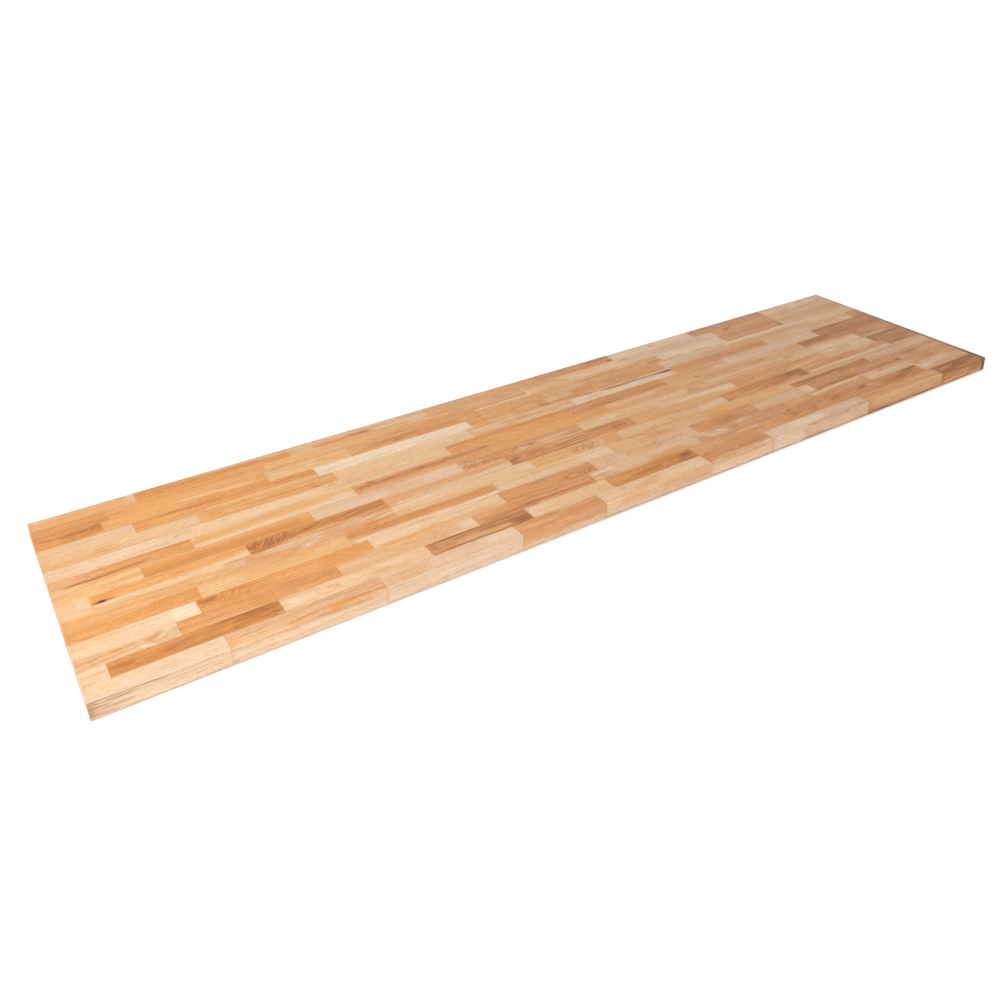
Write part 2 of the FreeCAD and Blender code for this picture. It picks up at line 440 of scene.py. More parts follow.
row07 = {
    "node": "stave_row_07",
    "tones": ["amber", "butter", "copper", "honey", "tan", "tan", "walnut"],
    "marks": [
        wash("ivory", (598, 645), 0.85, 0.24, 0.9),
        wash("gold", (355, 420), 0.88, 0.16, 0.5),
        wash("straw", (0, 278), 0.5, 0.6, 0.2),
        wash("tan", (645, 1005), (0.1, 0.12), 0.2, 0.5),
        wash("sand", (1693, 2110), 0.5, 0.6, 0.25),
        wash("tan", (0, 95), (0.3, 0.25), 0.5, 0.9),
        wash("peach", (0, 60), 0.95, 0.16, 0.9),
        streak("umber", (28, 182), (0.76, 0.6), 0.08, 0.8),
        streak("chestnut", (85, 278), (0.1, 0.14), 0.1, 0.8),
        wash("gold", (56, 76), (0.3, 0.35), 0.2, 0.7),
        wash("gold", (138, 165), (0.55, 0.6), 0.25, 0.7),
        streak("russet", (160, 196), (0.3, 0.65), 0.06, 0.5),
        streak("russet", (200, 278), (0.35, 0.3), 0.14, 0.5),
        wash("sand", (60, 250), 0.96, 0.1, 0.5),
        wash("honey", (280, 560), 0.25, 0.25, 0.5),
        wash("cream", (280, 645), (0.88, 0.72), 0.18, 1.0),
        wash("cream", (590, 645), 0.6, 0.3, 0.6),
        streak("rust", (648, 1005), (0.38, 0.3), 0.2, 0.5),
        streak("rust", (684, 698), (0.15, 0.2), 0.14, 0.8),
        streak("rust", (720, 745), 0.35, 0.12, 0.7),
        streak("umber", (805, 830), (0.25, 0.35), 0.14, 0.5),
        wash("tan", (660, 905), (0.9, 0.95), 0.25, 0.9),
        wash("copper", (920, 1005), (0.4, 0.6), 0.35, 0.6),
        streak("amber", (1010, 1372), (0.25, 0.15), 0.2, 0.8),
        wash("gold", (1325, 1368), (0.4, 0.55), 0.3, 0.6),
        wash("straw", (1075, 1250), (0.6, 0.55), 0.3, 0.5),
        wash("butter", (1376, 1420), (0.3, 0.35), 0.3, 0.5),
        streak("copper", (1425, 1475), 0.8, 0.1, 0.5),
        wash("blush", (1430, 1560), (0.3, 0.25), 0.2, 0.5),
        wash("copper", (1540, 1600), (0.45, 0.4), 0.25, 0.5),
        wash("sand", (1620, 1690), (0.3, 0.35), 0.35, 0.5),
        streak("walnut", (1692, 1712), (0.1, 0.14), 0.12, 0.7),
        streak("fawn", (1720, 1960), (0.45, 0.62), 0.14, 0.7),
        streak("umber", (1926, 1940), (0.62, 0.66), 0.08, 0.7),
        wash("honey", (1830, 1866), 0.4, 0.22, 0.7),
        wash("peach", (1690, 1800), (0.95, 0.92), 0.16, 0.5),
        wash("butter", (1950, 2010), (0.25, 0.15), 0.25, 0.6),
        wash("honey", (2040, 2108), 0.35, 0.28, 0.5),
        streak("rust", (2112, 2225), (0.4, 0.42), 0.22, 0.7),
        wash("russet", (2240, 2320), (0.5, 0.7), 0.4, 0.6),
        wash("tan", (2112, 2240), (0.95, 0.96), 0.18, 0.9),
        wash("copper", (2340, 2489), (0.9, 0.8), 0.22, 0.8),
        wash("chestnut", (2330, 2440), 0.3, 0.25, 0.5),
    ],
}

row08 = {
    "node": "stave_row_08",
    "tones": ["butter", "gold", "blush", "copper", "sand", "tan", "sand", "taupe"],
    "marks": [
        wash("ivory", (1950, 1996), 0.12, 0.25, 0.8),
        wash("tan", (0, 60), (0.55, 0.6), 0.25, 0.5),
        wash("peach", (110, 166), 0.8, 0.25, 0.5),
        wash("straw", (168, 520), (0.05, 0.12), 0.16, 0.8),
        streak("chestnut", (175, 500), (0.72, 0.65), 0.18, 0.7),
        wash("straw", (500, 526), 0.2, 0.25, 0.6),
        wash("peach", (530, 570), 0.6, 0.35, 0.7),
        wash("cream", (640, 700), (0.5, 0.6), 0.3, 0.5),
        streak("fawn", (640, 680), (0.35, 0.45), 0.04, 0.5),
        wash("cream", (790, 898), (0.35, 0.45), 0.3, 0.7),
        wash("tan", (700, 800), (0.7, 0.6), 0.3, 0.4),
        hatch((902, 965), (0.6, 0.7), 0.4, 0.7),
        wash("cream", (880, 955), 0.45, 0.2, 0.4),
        streak("walnut", (904, 975), (0.9, 0.7), 0.12, 0.4),
        wash("russet", (965, 1040), 0.5, 0.45, 0.6),
        streak("umber", (1038, 1058), (0.7, 0.38), 0.08, 0.8),
        wash("cream", (1062, 1100), (0.7, 0.5), 0.12, 0.5),
        streak("umber", (1076, 1112), (0.52, 0.56), 0.1, 0.7),
        wash("cream", (1115, 1212), (0.55, 0.48), 0.16, 0.5),
        streak("fawn", (1070, 1220), (0.22, 0.28), 0.06, 0.6),
        streak("fawn", (1090, 1240), (0.78, 0.72), 0.06, 0.6),
        wash("sand", (1120, 1250), (0.9, 0.92), 0.16, 0.8),
        wash("peach", (1252, 1320), 0.6, 0.35, 0.6),
        wash("cream", (1320, 1370), (0.45, 0.4), 0.3, 0.7),
        streak("copper", (1355, 1390), (0.65, 0.75), 0.06, 0.6),
        streak("walnut", (1458, 1475), (0.6, 0.65), 0.07, 0.5),
        wash("peach", (1540, 1590), (0.3, 0.6), 0.2, 0.7),
        streak("umber", (1618, 1636), (0.55, 0.18), 0.12, 0.7),
        wash("peach", (1700, 1997), (0.08, 0.2), 0.22, 0.9),
        wash("blush", (1650, 1760), (0.35, 0.4), 0.18, 0.6),
        streak("russet", (1680, 1830), (0.8, 0.9), 0.14, 0.5),
        wash("butter", (1960, 1997), (0.25, 0.35), 0.25, 0.5),
        streak("copper", (1999, 2024), (0.35, 0.25), 0.25, 0.7),
        wash("peach", (2040, 2120), (0.55, 0.6), 0.35, 0.6),
        wash("cream", (2120, 2312), 0.6, 0.4, 0.8),
        streak("russet", (2314, 2450), (0.22, 0.28), 0.22, 0.5),
        wash("peach", (2320, 2430), (0.85, 0.8), 0.22, 0.5),
        wash("honey", (2432, 2472), (0.3, 0.15), 0.28, 0.9),
    ],
}

row09 = {
    "node": "stave_row_09",
    "tones": ["peach", "honey", "chestnut", "tan", "russet", "straw", "copper", "sand", "walnut"],
    "marks": [
        wash("straw", (0, 60), 0.5, 0.6, 0.25),
        wash("copper", (1050, 1115), 0.45, 0.2, 0.8),
        wash("cream", (36, 60), (0.35, 0.4), 0.35, 0.6),
        wash("gold", (62, 106), 0.38, 0.26, 0.6),
        knot((68, 88), (0.58, 0.76), 1.0),
        streak("rust", (62, 104), (0.7, 0.68), 0.06, 0.8),
        wash("cream", (66, 250), (0.92, 0.9), 0.14, 1.0),
        wash("cream", (250, 368), (0.88, 0.8), 0.18, 0.9),
        wash("cream", (340, 367), (0.7, 0.75), 0.25, 0.6),
        streak("russet", (208, 236), (0.28, 0.44), 0.09, 0.8),
        streak("copper", (120, 360), (0.18, 0.22), 0.12, 0.5),
        hatch((368, 462), (0.45, 0.4), 0.42, 1.0),
        streak("umber", (366, 388), (0.3, 0.75), 0.14, 0.6),
        streak("umber", (372, 420), (0.94, 0.92), 0.1, 0.7),
        streak("umber", (398, 470), (0.84, 0.34), 0.08, 0.7),
        streak("umber", (452, 530), (0.66, 0.2), 0.09, 0.6),
        streak("bark", (490, 512), (0.42, 0.3), 0.08, 0.5),
        wash("tan", (440, 560), (0.92, 0.78), 0.16, 0.7),
        wash("fawn", (560, 682), 0.82, 0.2, 0.8),
        streak("umber", (536, 682), (0.4, 0.12), 0.06, 0.9),
        streak("umber", (574, 682), (0.7, 0.42), 0.05, 0.7),
        streak("umber", (604, 682), (0.5, 0.26), 0.05, 0.6),
        wash("straw", (570, 620), 0.95, 0.14, 0.7),
        streak("copper", (686, 1000), (0.2, 0.3), 0.14, 0.6),
        wash("cream", (700, 1008), (0.9, 0.72), 0.22, 0.8),
        wash("copper", (900, 1000), (0.45, 0.35), 0.2, 0.5),
        streak("umber", (1009, 1042), (0.7, 0.25), 0.24, 0.8),
        streak("umber", (1010, 1225), (0.94, 0.92), 0.07, 0.8),
        streak("rust", (1060, 1114), (0.42, 0.44), 0.18, 0.9),
        streak("copper", (1040, 1100), (0.7, 0.6), 0.1, 0.7),
        streak("tan", (1120, 1240), (0.28, 0.2), 0.08, 0.7),
        wash("copper", (1140, 1262), (0.65, 0.6), 0.2, 0.7),
        streak("umber", (1248, 1345), (0.2, 0.18), 0.12, 0.42),
        streak("umber", (1322, 1358), 0.5, 0.3, 0.5),
        wash("copper", (1275, 1320), 0.8, 0.18, 0.6),
        wash("tan", (1386, 1440), (0.4, 0.45), 0.25, 0.5),
        wash("honey", (1430, 1460), (0.9, 0.85), 0.18, 0.7),
        wash("cream", (1490, 1748), (0.05, 0.28), 0.26, 0.9),
        wash("cream", (1685, 1749), (0.4, 0.42), 0.28, 0.8),
        streak("straw", (1440, 1700), (0.75, 0.8), 0.16, 0.6),
        wash("amber", (1760, 1900), (0.5, 0.4), 0.3, 0.5),
        streak("walnut", (1818, 1840), (0.5, 0.2), 0.08, 0.7),
        streak("walnut", (1912, 1932), (0.45, 0.28), 0.07, 0.6),
        wash("fawn", (1850, 1900), 0.3, 0.2, 0.5),
        wash("straw", (1940, 2108), (0.85, 0.55), 0.25, 0.8),
        wash("sand", (2060, 2108), (0.4, 0.3), 0.25, 0.6),
        wash("ivory", (2135, 2180), (0.12, 0.14), 0.2, 0.7),
        wash("butter", (2210, 2275), (0.78, 0.8), 0.2, 0.9),
        wash("cream", (2240, 2318), (0.22, 0.3), 0.3, 0.9),
        streak("umber", (2321, 2345), (0.15, 0.4), 0.14, 0.7),
        streak("umber", (2330, 2470), (0.14, 0.22), 0.1, 0.8),
        wash("fawn", (2380, 2430), 0.45, 0.2, 0.6),
        wash("russet", (2350, 2400), (0.75, 0.6), 0.25, 0.6),
        wash("russet", (2440, 2480), 0.6, 0.3, 0.6),
        streak("umber", (1140, 1240), (0.5, 0.36), 0.05, 0.8),
        streak("umber", (1150, 1238), (0.68, 0.6), 0.05, 0.7),
        wash("amber", (1150, 1240), (0.59, 0.48), 0.06, 0.8),
        wash("honey", (1130, 1240), (0.8, 0.76), 0.06, 0.7),
    ],
}

row10 = {
    "node": "stave_row_10",
    "tones": ["straw", "tan", "peach", "straw", "sand", "chestnut", "copper", "walnut"],
    "marks": [
        wash("copper", (312, 682), 0.5, 0.7, 0.3),
        wash("peach", (0, 312), (0.06, 0.08), 0.18, 1.0),
        streak("honey", (0, 240), (0.62, 0.6), 0.2, 0.6),
        wash("peach", (240, 312), 0.5, 0.35, 0.4),
        streak("fawn", (314, 366), (0.3, 0.8), 0.07, 0.5),
        streak("russet", (350, 420), (0.4, 0.55), 0.1, 0.7),
        wash("blush", (312, 350), (0.35, 0.45), 0.25, 0.6),
        wash("blush", (400, 520), (0.2, 0.25), 0.25, 0.8),
        streak("fawn", (420, 530), (0.32, 0.28), 0.04, 0.6),
        streak("russet", (446, 476), (0.6, 0.85), 0.07, 0.7),
        streak("copper", (484, 506), (0.8, 0.72), 0.1, 0.7),
        wash("ivory", (462, 505), (0.78, 0.66), 0.12, 0.9),
        streak("fawn", (550, 640), (0.5, 0.42), 0.05, 0.6),
        wash("blush", (560, 640), (0.3, 0.28), 0.2, 0.7),
        streak("ivory", (640, 682), (0.52, 0.4), 0.07, 0.9),
        streak("gold", (556, 682), (0.96, 0.72), 0.16, 1.0),
        streak("rust", (610, 640), (0.72, 0.68), 0.06, 0.8),
        wash("straw", (684, 720), (0.8, 0.85), 0.25, 0.7),
        wash("cream", (700, 860), (0.12, 0.1), 0.16, 0.8),
        wash("butter", (700, 900), (0.75, 0.8), 0.2, 0.5),
        wash("cream", (960, 1046), (0.35, 0.25), 0.35, 0.8),
        wash("butter", (895, 985), (0.9, 0.6), 0.18, 0.6),
        wash("tan", (1050, 1180), (0.25, 0.3), 0.18, 0.5),
        streak("russet", (1180, 1240), (0.06, 0.04), 0.08, 0.7),
        hatch((1165, 1235), 0.55, 0.35, 0.9),
        wash("blush", (1228, 1262), (0.8, 0.55), 0.22, 0.6),
        streak("copper", (1255, 1305), (0.35, 0.45), 0.3, 0.8),
        streak("walnut", (1290, 1305), (0.82, 0.84), 0.12, 0.7),
        streak("amber", (1306, 1500), (0.08, 0.12), 0.12, 0.7),
        streak("amber", (1440, 1668), (0.1, 0.2), 0.16, 0.8),
        wash("cream", (1310, 1450), (0.65, 0.6), 0.3, 0.3),
        wash("cream", (1580, 1668), (0.7, 0.55), 0.3, 0.8),
        streak("straw", (1380, 1440), (0.98, 0.95), 0.1, 0.5),
        wash("amber", (1668, 1740), (0.5, 0.6), 0.35, 0.6),
        streak("chestnut", (1720, 1760), (0.3, 0.5), 0.12, 0.5),
        wash("straw", (1700, 1800), (0.85, 0.75), 0.18, 0.6),
        streak("umber", (1845, 1880), (0.7, 0.6), 0.1, 0.5),
        wash("rust", (1880, 1930), (0.3, 0.4), 0.4, 0.5),
        streak("umber", (1912, 1984), 0.3, 0.26, 1.0),
        streak("umber", (1950, 1984), (0.8, 0.72), 0.2, 0.8),
        wash("fawn", (1900, 1945), (0.8, 0.82), 0.16, 0.6),
        wash("tan", (1985, 2060), (0.2, 0.25), 0.25, 0.6),
        wash("cream", (1990, 2345), (0.88, 0.82), 0.2, 0.8),
        wash("copper", (2160, 2200), (0.1, 0.14), 0.18, 0.6),
        wash("straw", (2215, 2275), (0.08, 0.14), 0.18, 0.7),
        streak("copper", (2010, 2345), (0.42, 0.4), 0.12, 0.6),
        streak("rust", (2350, 2430), (0.55, 0.6), 0.14, 0.6),
        wash("cream", (2350, 2489), 0.98, 0.14, 0.8),
        wash("honey", (2436, 2474), (0.5, 0.55), 0.22, 0.5),
        wash("fawn", (2346, 2380), (0.2, 0.25), 0.25, 0.5),
    ],
}

row11 = {
    "node": "stave_row_11",
    "tones": ["gold", "butter", "copper", "peach", "tan", "straw", "tan", "sand"],
    "marks": [
        wash("straw", (0, 243), 0.85, 0.25, 0.4),
        wash("honey", (243, 555), 0.5, 0.6, 0.25),
        wash("sand", (922, 1247), 0.5, 0.6, 0.35),
        wash("sand", (1247, 1556), 0.5, 0.6, 0.4),
        wash("fawn", (2190, 2489), 0.5, 0.8, 0.6),
        wash("straw", (0, 160), (0.05, 0.08), 0.15, 0.7),
        streak("russet", (20, 120), (0.96, 0.55), 0.06, 0.7),
        streak("russet", (118, 215), (0.96, 0.72), 0.06, 0.7),
        streak("chestnut", (0, 40), (0.75, 0.9), 0.1, 0.5),
        hatch((154, 176), (0.35, 0.4), 0.35, 0.4),
        streak("russet", (218, 243), (0.6, 0.4), 0.22, 0.5),
        wash("cream", (245, 330), (0.45, 0.5), 0.4, 0.4),
        wash("straw", (320, 420), (0.3, 0.35), 0.3, 0.5),
        streak("straw", (415, 550), (0.68, 0.8), 0.08, 0.6),
        wash("peach", (480, 540), 0.45, 0.25, 0.5),
        streak("chestnut", (557, 760), (0.3, 0.25), 0.22, 0.9),
        streak("chestnut", (700, 920), (0.3, 0.22), 0.12, 0.9),
        streak("gold", (640, 905), (0.48, 0.55), 0.12, 0.6),
        streak("russet", (880, 920), (0.62, 0.6), 0.12, 0.8),
        wash("cream", (560, 922), 0.88, 0.24, 1.0),
        wash("blush", (930, 1060), (0.55, 0.75), 0.25, 0.7),
        wash("sand", (960, 1120), (0.2, 0.3), 0.2, 0.4),
        wash("cream", (1160, 1247), (0.4, 0.55), 0.35, 0.8),
        wash("straw", (1250, 1300), (0.45, 0.6), 0.3, 0.5),
        wash("straw", (1330, 1420), (0.2, 0.7), 0.16, 0.6),
        streak("fawn", (1310, 1490), 0.06, 0.1, 0.6),
        wash("straw", (1360, 1420), (0.25, 0.4), 0.25, 0.4),
        streak("honey", (1545, 1556), 0.8, 0.14, 0.6),
        wash("gold", (1558, 1625), (0.9, 0.7), 0.24, 0.65),
        wash("honey", (1556, 1640), 0.3, 0.16, 0.6),
        streak("russet", (1610, 1700), (0.98, 0.92), 0.1, 0.7),
        wash("butter", (1690, 1800), (0.3, 0.4), 0.25, 0.5),
        wash("honey", (1800, 1830), 0.3, 0.2, 0.6),
        wash("peach", (1836, 1875), 0.5, 0.35, 0.6),
        streak("umber", (1876, 2040), (0.52, 0.6), 0.12, 0.9),
        streak("umber", (2000, 2190), (0.58, 0.5), 0.11, 0.9),
        wash("walnut", (1880, 2190), (0.8, 0.85), 0.26, 1.0),
        wash("tan", (1950, 2060), (0.92, 0.95), 0.14, 0.5),
        streak("russet", (2040, 2160), (0.72, 0.75), 0.1, 0.6),
        wash("peach", (2200, 2260), (0.35, 0.4), 0.3, 0.6),
        wash("blush", (2260, 2380), (0.5, 0.6), 0.3, 0.6),
        wash("peach", (2380, 2489), (0.45, 0.5), 0.4, 0.7),
        streak("copper", (2360, 2420), (0.35, 0.2), 0.1, 0.4),
    ],
}

row12 = {
    "node": "stave_row_12",
    "tones": ["cream", "amber", "peach", "russet", "sand", "russet", "sand", "russet", "fawn"],
    "marks": [
        wash("tan", (908, 1078), 0.5, 0.6, 0.2),
        wash("tan", (1482, 1698), 0.5, 0.6, 0.3),
        wash("fawn", (1698, 1915), 0.5, 0.6, 0.2),
        wash("taupe", (2275, 2489), 0.5, 0.6, 0.3),
        wash("butter", (0, 90), 0.3, 0.4, 0.5),
        wash("ivory", (180, 229), (0.4, 0.55), 0.5, 1.0),
        wash("blush", (60, 130), (0.6, 0.7), 0.25, 0.5),
        streak("rust", (230, 268), (0.3, 0.26), 0.2, 0.9),
        streak("chestnut", (232, 262), (0.6, 0.55), 0.08, 0.6),
        hatch((270, 330), 0.5, 0.35, 0.7),
        streak("chestnut", (300, 350), (0.12, 0.25), 0.12, 0.7),
        streak("russet", (338, 378), (0.62, 0.1), 0.1, 0.7),
        streak("copper", (380, 425), (0.82, 0.78), 0.06, 0.6),
        wash("honey", (410, 470), (0.6, 0.65), 0.3, 0.6),
        streak("chestnut", (490, 550), (0.1, 0.9), 0.1, 0.5),
        streak("chestnut", (545, 586), (0.3, 0.75), 0.1, 0.6),
        wash("straw", (562, 588), 0.85, 0.14, 0.8),
        wash("honey", (480, 510), (0.1, 0.12), 0.12, 0.6),
        wash("cream", (592, 700), (0.4, 0.35), 0.35, 0.8),
        streak("honey", (598, 760), (0.88, 0.8), 0.12, 0.9),
        streak("amber", (610, 760), 0.98, 0.07, 0.8),
        streak("honey", (700, 880), (0.75, 0.7), 0.06, 0.7),
        streak("straw", (740, 905), (0.9, 0.85), 0.08, 0.7),
        wash("cream", (760, 905), (0.25, 0.35), 0.3, 0.6),
        streak("chestnut", (910, 962), (0.8, 0.95), 0.12, 0.8),
        wash("amber", (920, 960), (0.45, 0.4), 0.25, 0.7),
        wash("gold", (972, 1000), 0.5, 0.22, 0.6),
        streak("fawn", (940, 1060), (0.25, 0.2), 0.22, 0.5),
        streak("copper", (1046, 1078), (0.55, 0.15), 0.07, 0.8),
        streak("walnut", (1052, 1080), (0.92, 0.55), 0.07, 0.6),
        oval("umber", (1078, 1120), (0.5, 0.98), 0.22, 0.45),
        wash("peach", (1100, 1150), 0.15, 0.25, 0.5),
        wash("amber", (1085, 1110), 0.7, 0.14, 0.8),
        hatch((1126, 1163), (0.7, 0.65), 0.3, 0.8),
        streak("chestnut", (1110, 1163), (0.2, 0.25), 0.16, 0.6),
        wash("blush", (1165, 1260), (0.6, 0.5), 0.35, 0.8),
        hatch((1190, 1225), 0.6, 0.35, 0.35),
        streak("fawn", (1258, 1290), (0.75, 0.15), 0.1, 0.5),
        wash("straw", (1290, 1340), (0.8, 0.4), 0.18, 0.6),
        hatch((1325, 1372), (0.5, 0.45), 0.4, 0.5),
        wash("blush", (1385, 1480), (0.6, 0.55), 0.35, 0.7),
        hatch((1395, 1445), 0.4, 0.3, 0.4),
        streak("walnut", (1483, 1520), 0.22, 0.12, 0.5),
        wash("gold", (1482, 1512), (0.75, 0.65), 0.28, 0.6),
        streak("straw", (1530, 1560), (0.3, 0.05), 0.1, 0.8),
        wash("rust", (1545, 1630), (0.35, 0.6), 0.35, 0.4),
        wash("copper", (1640, 1697), (0.45, 0.5), 0.35, 0.6),
        streak("chestnut", (1560, 1697), (0.8, 0.85), 0.1, 0.4),
        wash("peach", (1700, 1760), (0.6, 0.55), 0.3, 0.7),
        wash("blush", (1780, 1860), (0.4, 0.45), 0.3, 0.7),
        wash("cream", (1880, 1915), (0.45, 0.5), 0.4, 0.9),
        streak("copper", (1700, 1760), (0.85, 0.8), 0.1, 0.5),
        streak("umber", (1920, 2120), (0.88, 0.8), 0.08, 0.6),
        wash("fawn", (1920, 2060), (0.35, 0.4), 0.25, 0.6),
        streak("rust", (2020, 2052), (0.55, 0.62), 0.14, 0.6),
        wash("amber", (2080, 2110), (0.1, 0.2), 0.22, 0.7),
        wash("fawn", (2100, 2180), (0.6, 0.5), 0.22, 0.8),
        streak("umber", (2140, 2275), (0.85, 0.76), 0.12, 0.5),
        wash("amber", (2200, 2270), 0.3, 0.25, 0.5),
        streak("umber", (2258, 2275), 0.78, 0.14, 0.8),
        streak("russet", (2280, 2304), (0.6, 0.2), 0.1, 0.7),
        wash("tan", (2278, 2300), 0.55, 0.3, 0.6),
        streak("walnut", (2308, 2368), (0.42, 0.32), 0.16, 0.7),
        wash("tan", (2380, 2489), (0.5, 0.7), 0.35, 0.7),
    ],
}

row13 = {
    "node": "stave_row_13",
    "tones": ["sand", "amber", "sand", "copper", "sand", "fawn", "copper", "sand", "copper"],
    "marks": [
        wash("oat", (0, 181), 0.5, 0.7, 0.35),
        wash("copper", (181, 497), 0.4, 0.5, 0.3),
        wash("tan", (497, 813), 0.5, 0.6, 0.25),
        wash("copper", (497, 560), 0.12, 0.2, 0.5),
        wash("fawn", (1130, 1455), 0.6, 0.5, 0.2),
        wash("cream", (1458, 1500), 0.15, 0.2, 0.6),
        wash("copper", (1990, 2088), 0.85, 0.2, 0.8),
        wash("cream", (20, 181), (0.08, 0.12), 0.16, 0.9),
        streak("copper", (0, 110), (0.2, 0.26), 0.05, 0.7),
        streak("russet", (0, 50), (0.5, 0.46), 0.14, 0.7),
        streak("russet", (50, 104), (0.46, 0.36), 0.09, 0.8),
        wash("gold", (62, 80), (0.4, 0.38), 0.14, 0.7),
        streak("copper", (0, 90), (0.88, 0.62), 0.06, 0.7),
        streak("amber", (30, 150), (0.82, 0.56), 0.05, 0.7),
        streak("russet", (118, 146), (0.34, 0.4), 0.12, 0.9),
        wash("ivory", (112, 134), (0.72, 0.8), 0.12, 0.8),
        streak("ivory", (134, 168), (0.66, 0.28), 0.08, 0.9),
        oval("copper", (126, 160), (0.2, 0.75), 0.18, 0.6),
        oval("copper", (132, 178), (0.1, 0.98), 0.1, 0.6),
        streak("copper", (0, 170), 0.98, 0.05, 0.5),
        streak("russet", (183, 497), (0.16, 0.22), 0.14, 0.7),
        wash("copper", (225, 300), (0.55, 0.6), 0.28, 0.6),
        wash("tan", (240, 497), (0.96, 0.98), 0.12, 0.7),
        streak("chestnut", (380, 497), (0.55, 0.62), 0.16, 0.6),
        wash("copper", (470, 497), 0.8, 0.2, 0.6),
        wash("peach", (500, 600), (0.35, 0.7), 0.3, 0.5),
        streak("copper", (640, 672), (0.3, 0.38), 0.1, 0.6),
        hatch((706, 740), (0.5, 0.45), 0.4, 0.35),
        wash("tan", (560, 720), (0.3, 0.35), 0.16, 0.5),
        wash("cream", (776, 813), (0.5, 0.55), 0.4, 0.9),
        wash("cream", (740, 813), (0.95, 0.92), 0.1, 0.8),
        wash("tan", (815, 900), (0.3, 0.2), 0.3, 0.8),
        streak("rust", (818, 960), (0.96, 0.72), 0.12, 0.7),
        wash("amber", (890, 920), (0.7, 0.68), 0.16, 0.7),
        streak("rust", (945, 1120), (0.66, 0.8), 0.11, 0.7),
        streak("umber", (948, 968), (0.92, 0.9), 0.07, 0.7),
        streak("russet", (960, 1125), (0.2, 0.35), 0.08, 0.5),
        streak("umber", (1120, 1130), 0.6, 0.1, 0.6),
        streak("ivory", (1134, 1200), (0.35, 0.2), 0.08, 0.8),
        streak("fawn", (1136, 1190), (0.55, 0.62), 0.06, 0.7),
        wash("blush", (1180, 1300), (0.35, 0.45), 0.35, 0.8),
        wash("cream", (1320, 1400), (0.25, 0.3), 0.2, 0.5),
        wash("copper", (1290, 1410), (0.95, 0.7), 0.25, 0.9),
        wash("blush", (1390, 1455), (0.25, 0.45), 0.25, 0.7),
        wash("cream", (1490, 1560), (0.45, 0.55), 0.26, 0.8),
        streak("walnut", (1555, 1590), (0.5, 0.6), 0.16, 0.7),
        streak("walnut", (1500, 1540), (0.3, 0.6), 0.06, 0.5),
        wash("blush", (1600, 1650), (0.25, 0.1), 0.2, 0.7),
        streak("russet", (1620, 1690), (0.6, 0.5), 0.25, 0.6),
        streak("russet", (1700, 1735), (0.4, 0.25), 0.16, 0.7),
        wash("gold", (1738, 1775), (0.62, 0.3), 0.26, 0.6),
        streak("umber", (1752, 1775), (0.92, 0.8), 0.08, 0.7),
        wash("straw", (1778, 1850), (0.25, 0.3), 0.28, 0.8),
        streak("chestnut", (1800, 1960), (0.78, 0.72), 0.16, 0.8),
        streak("umber", (1896, 1930), (0.92, 0.8), 0.07, 0.7),
        streak("cream", (1880, 2080), (0.3, 0.08), 0.14, 0.9),
        wash("amber", (2000, 2030), (0.6, 0.62), 0.2, 0.7),
        wash("straw", (2036, 2064), 0.4, 0.25, 0.6),
        wash("cream", (2090, 2220), (0.45, 0.6), 0.3, 0.4),
        wash("fawn", (2150, 2275), 0.15, 0.25, 0.8),
        wash("straw", (2276, 2330), 0.4, 0.25, 0.6),
        streak("chestnut", (2350, 2388), (0.4, 0.36), 0.26, 0.8),
        wash("honey", (2400, 2489), (0.5, 0.55), 0.35, 0.6),
        wash("copper", (2446, 2489), (0.3, 0.25), 0.25, 0.6),
        wash("cream", (2300, 2420), 0.98, 0.14, 0.8),
        wash("fawn", (1998, 2052), 0.86, 0.2, 0.5),
    ],
}

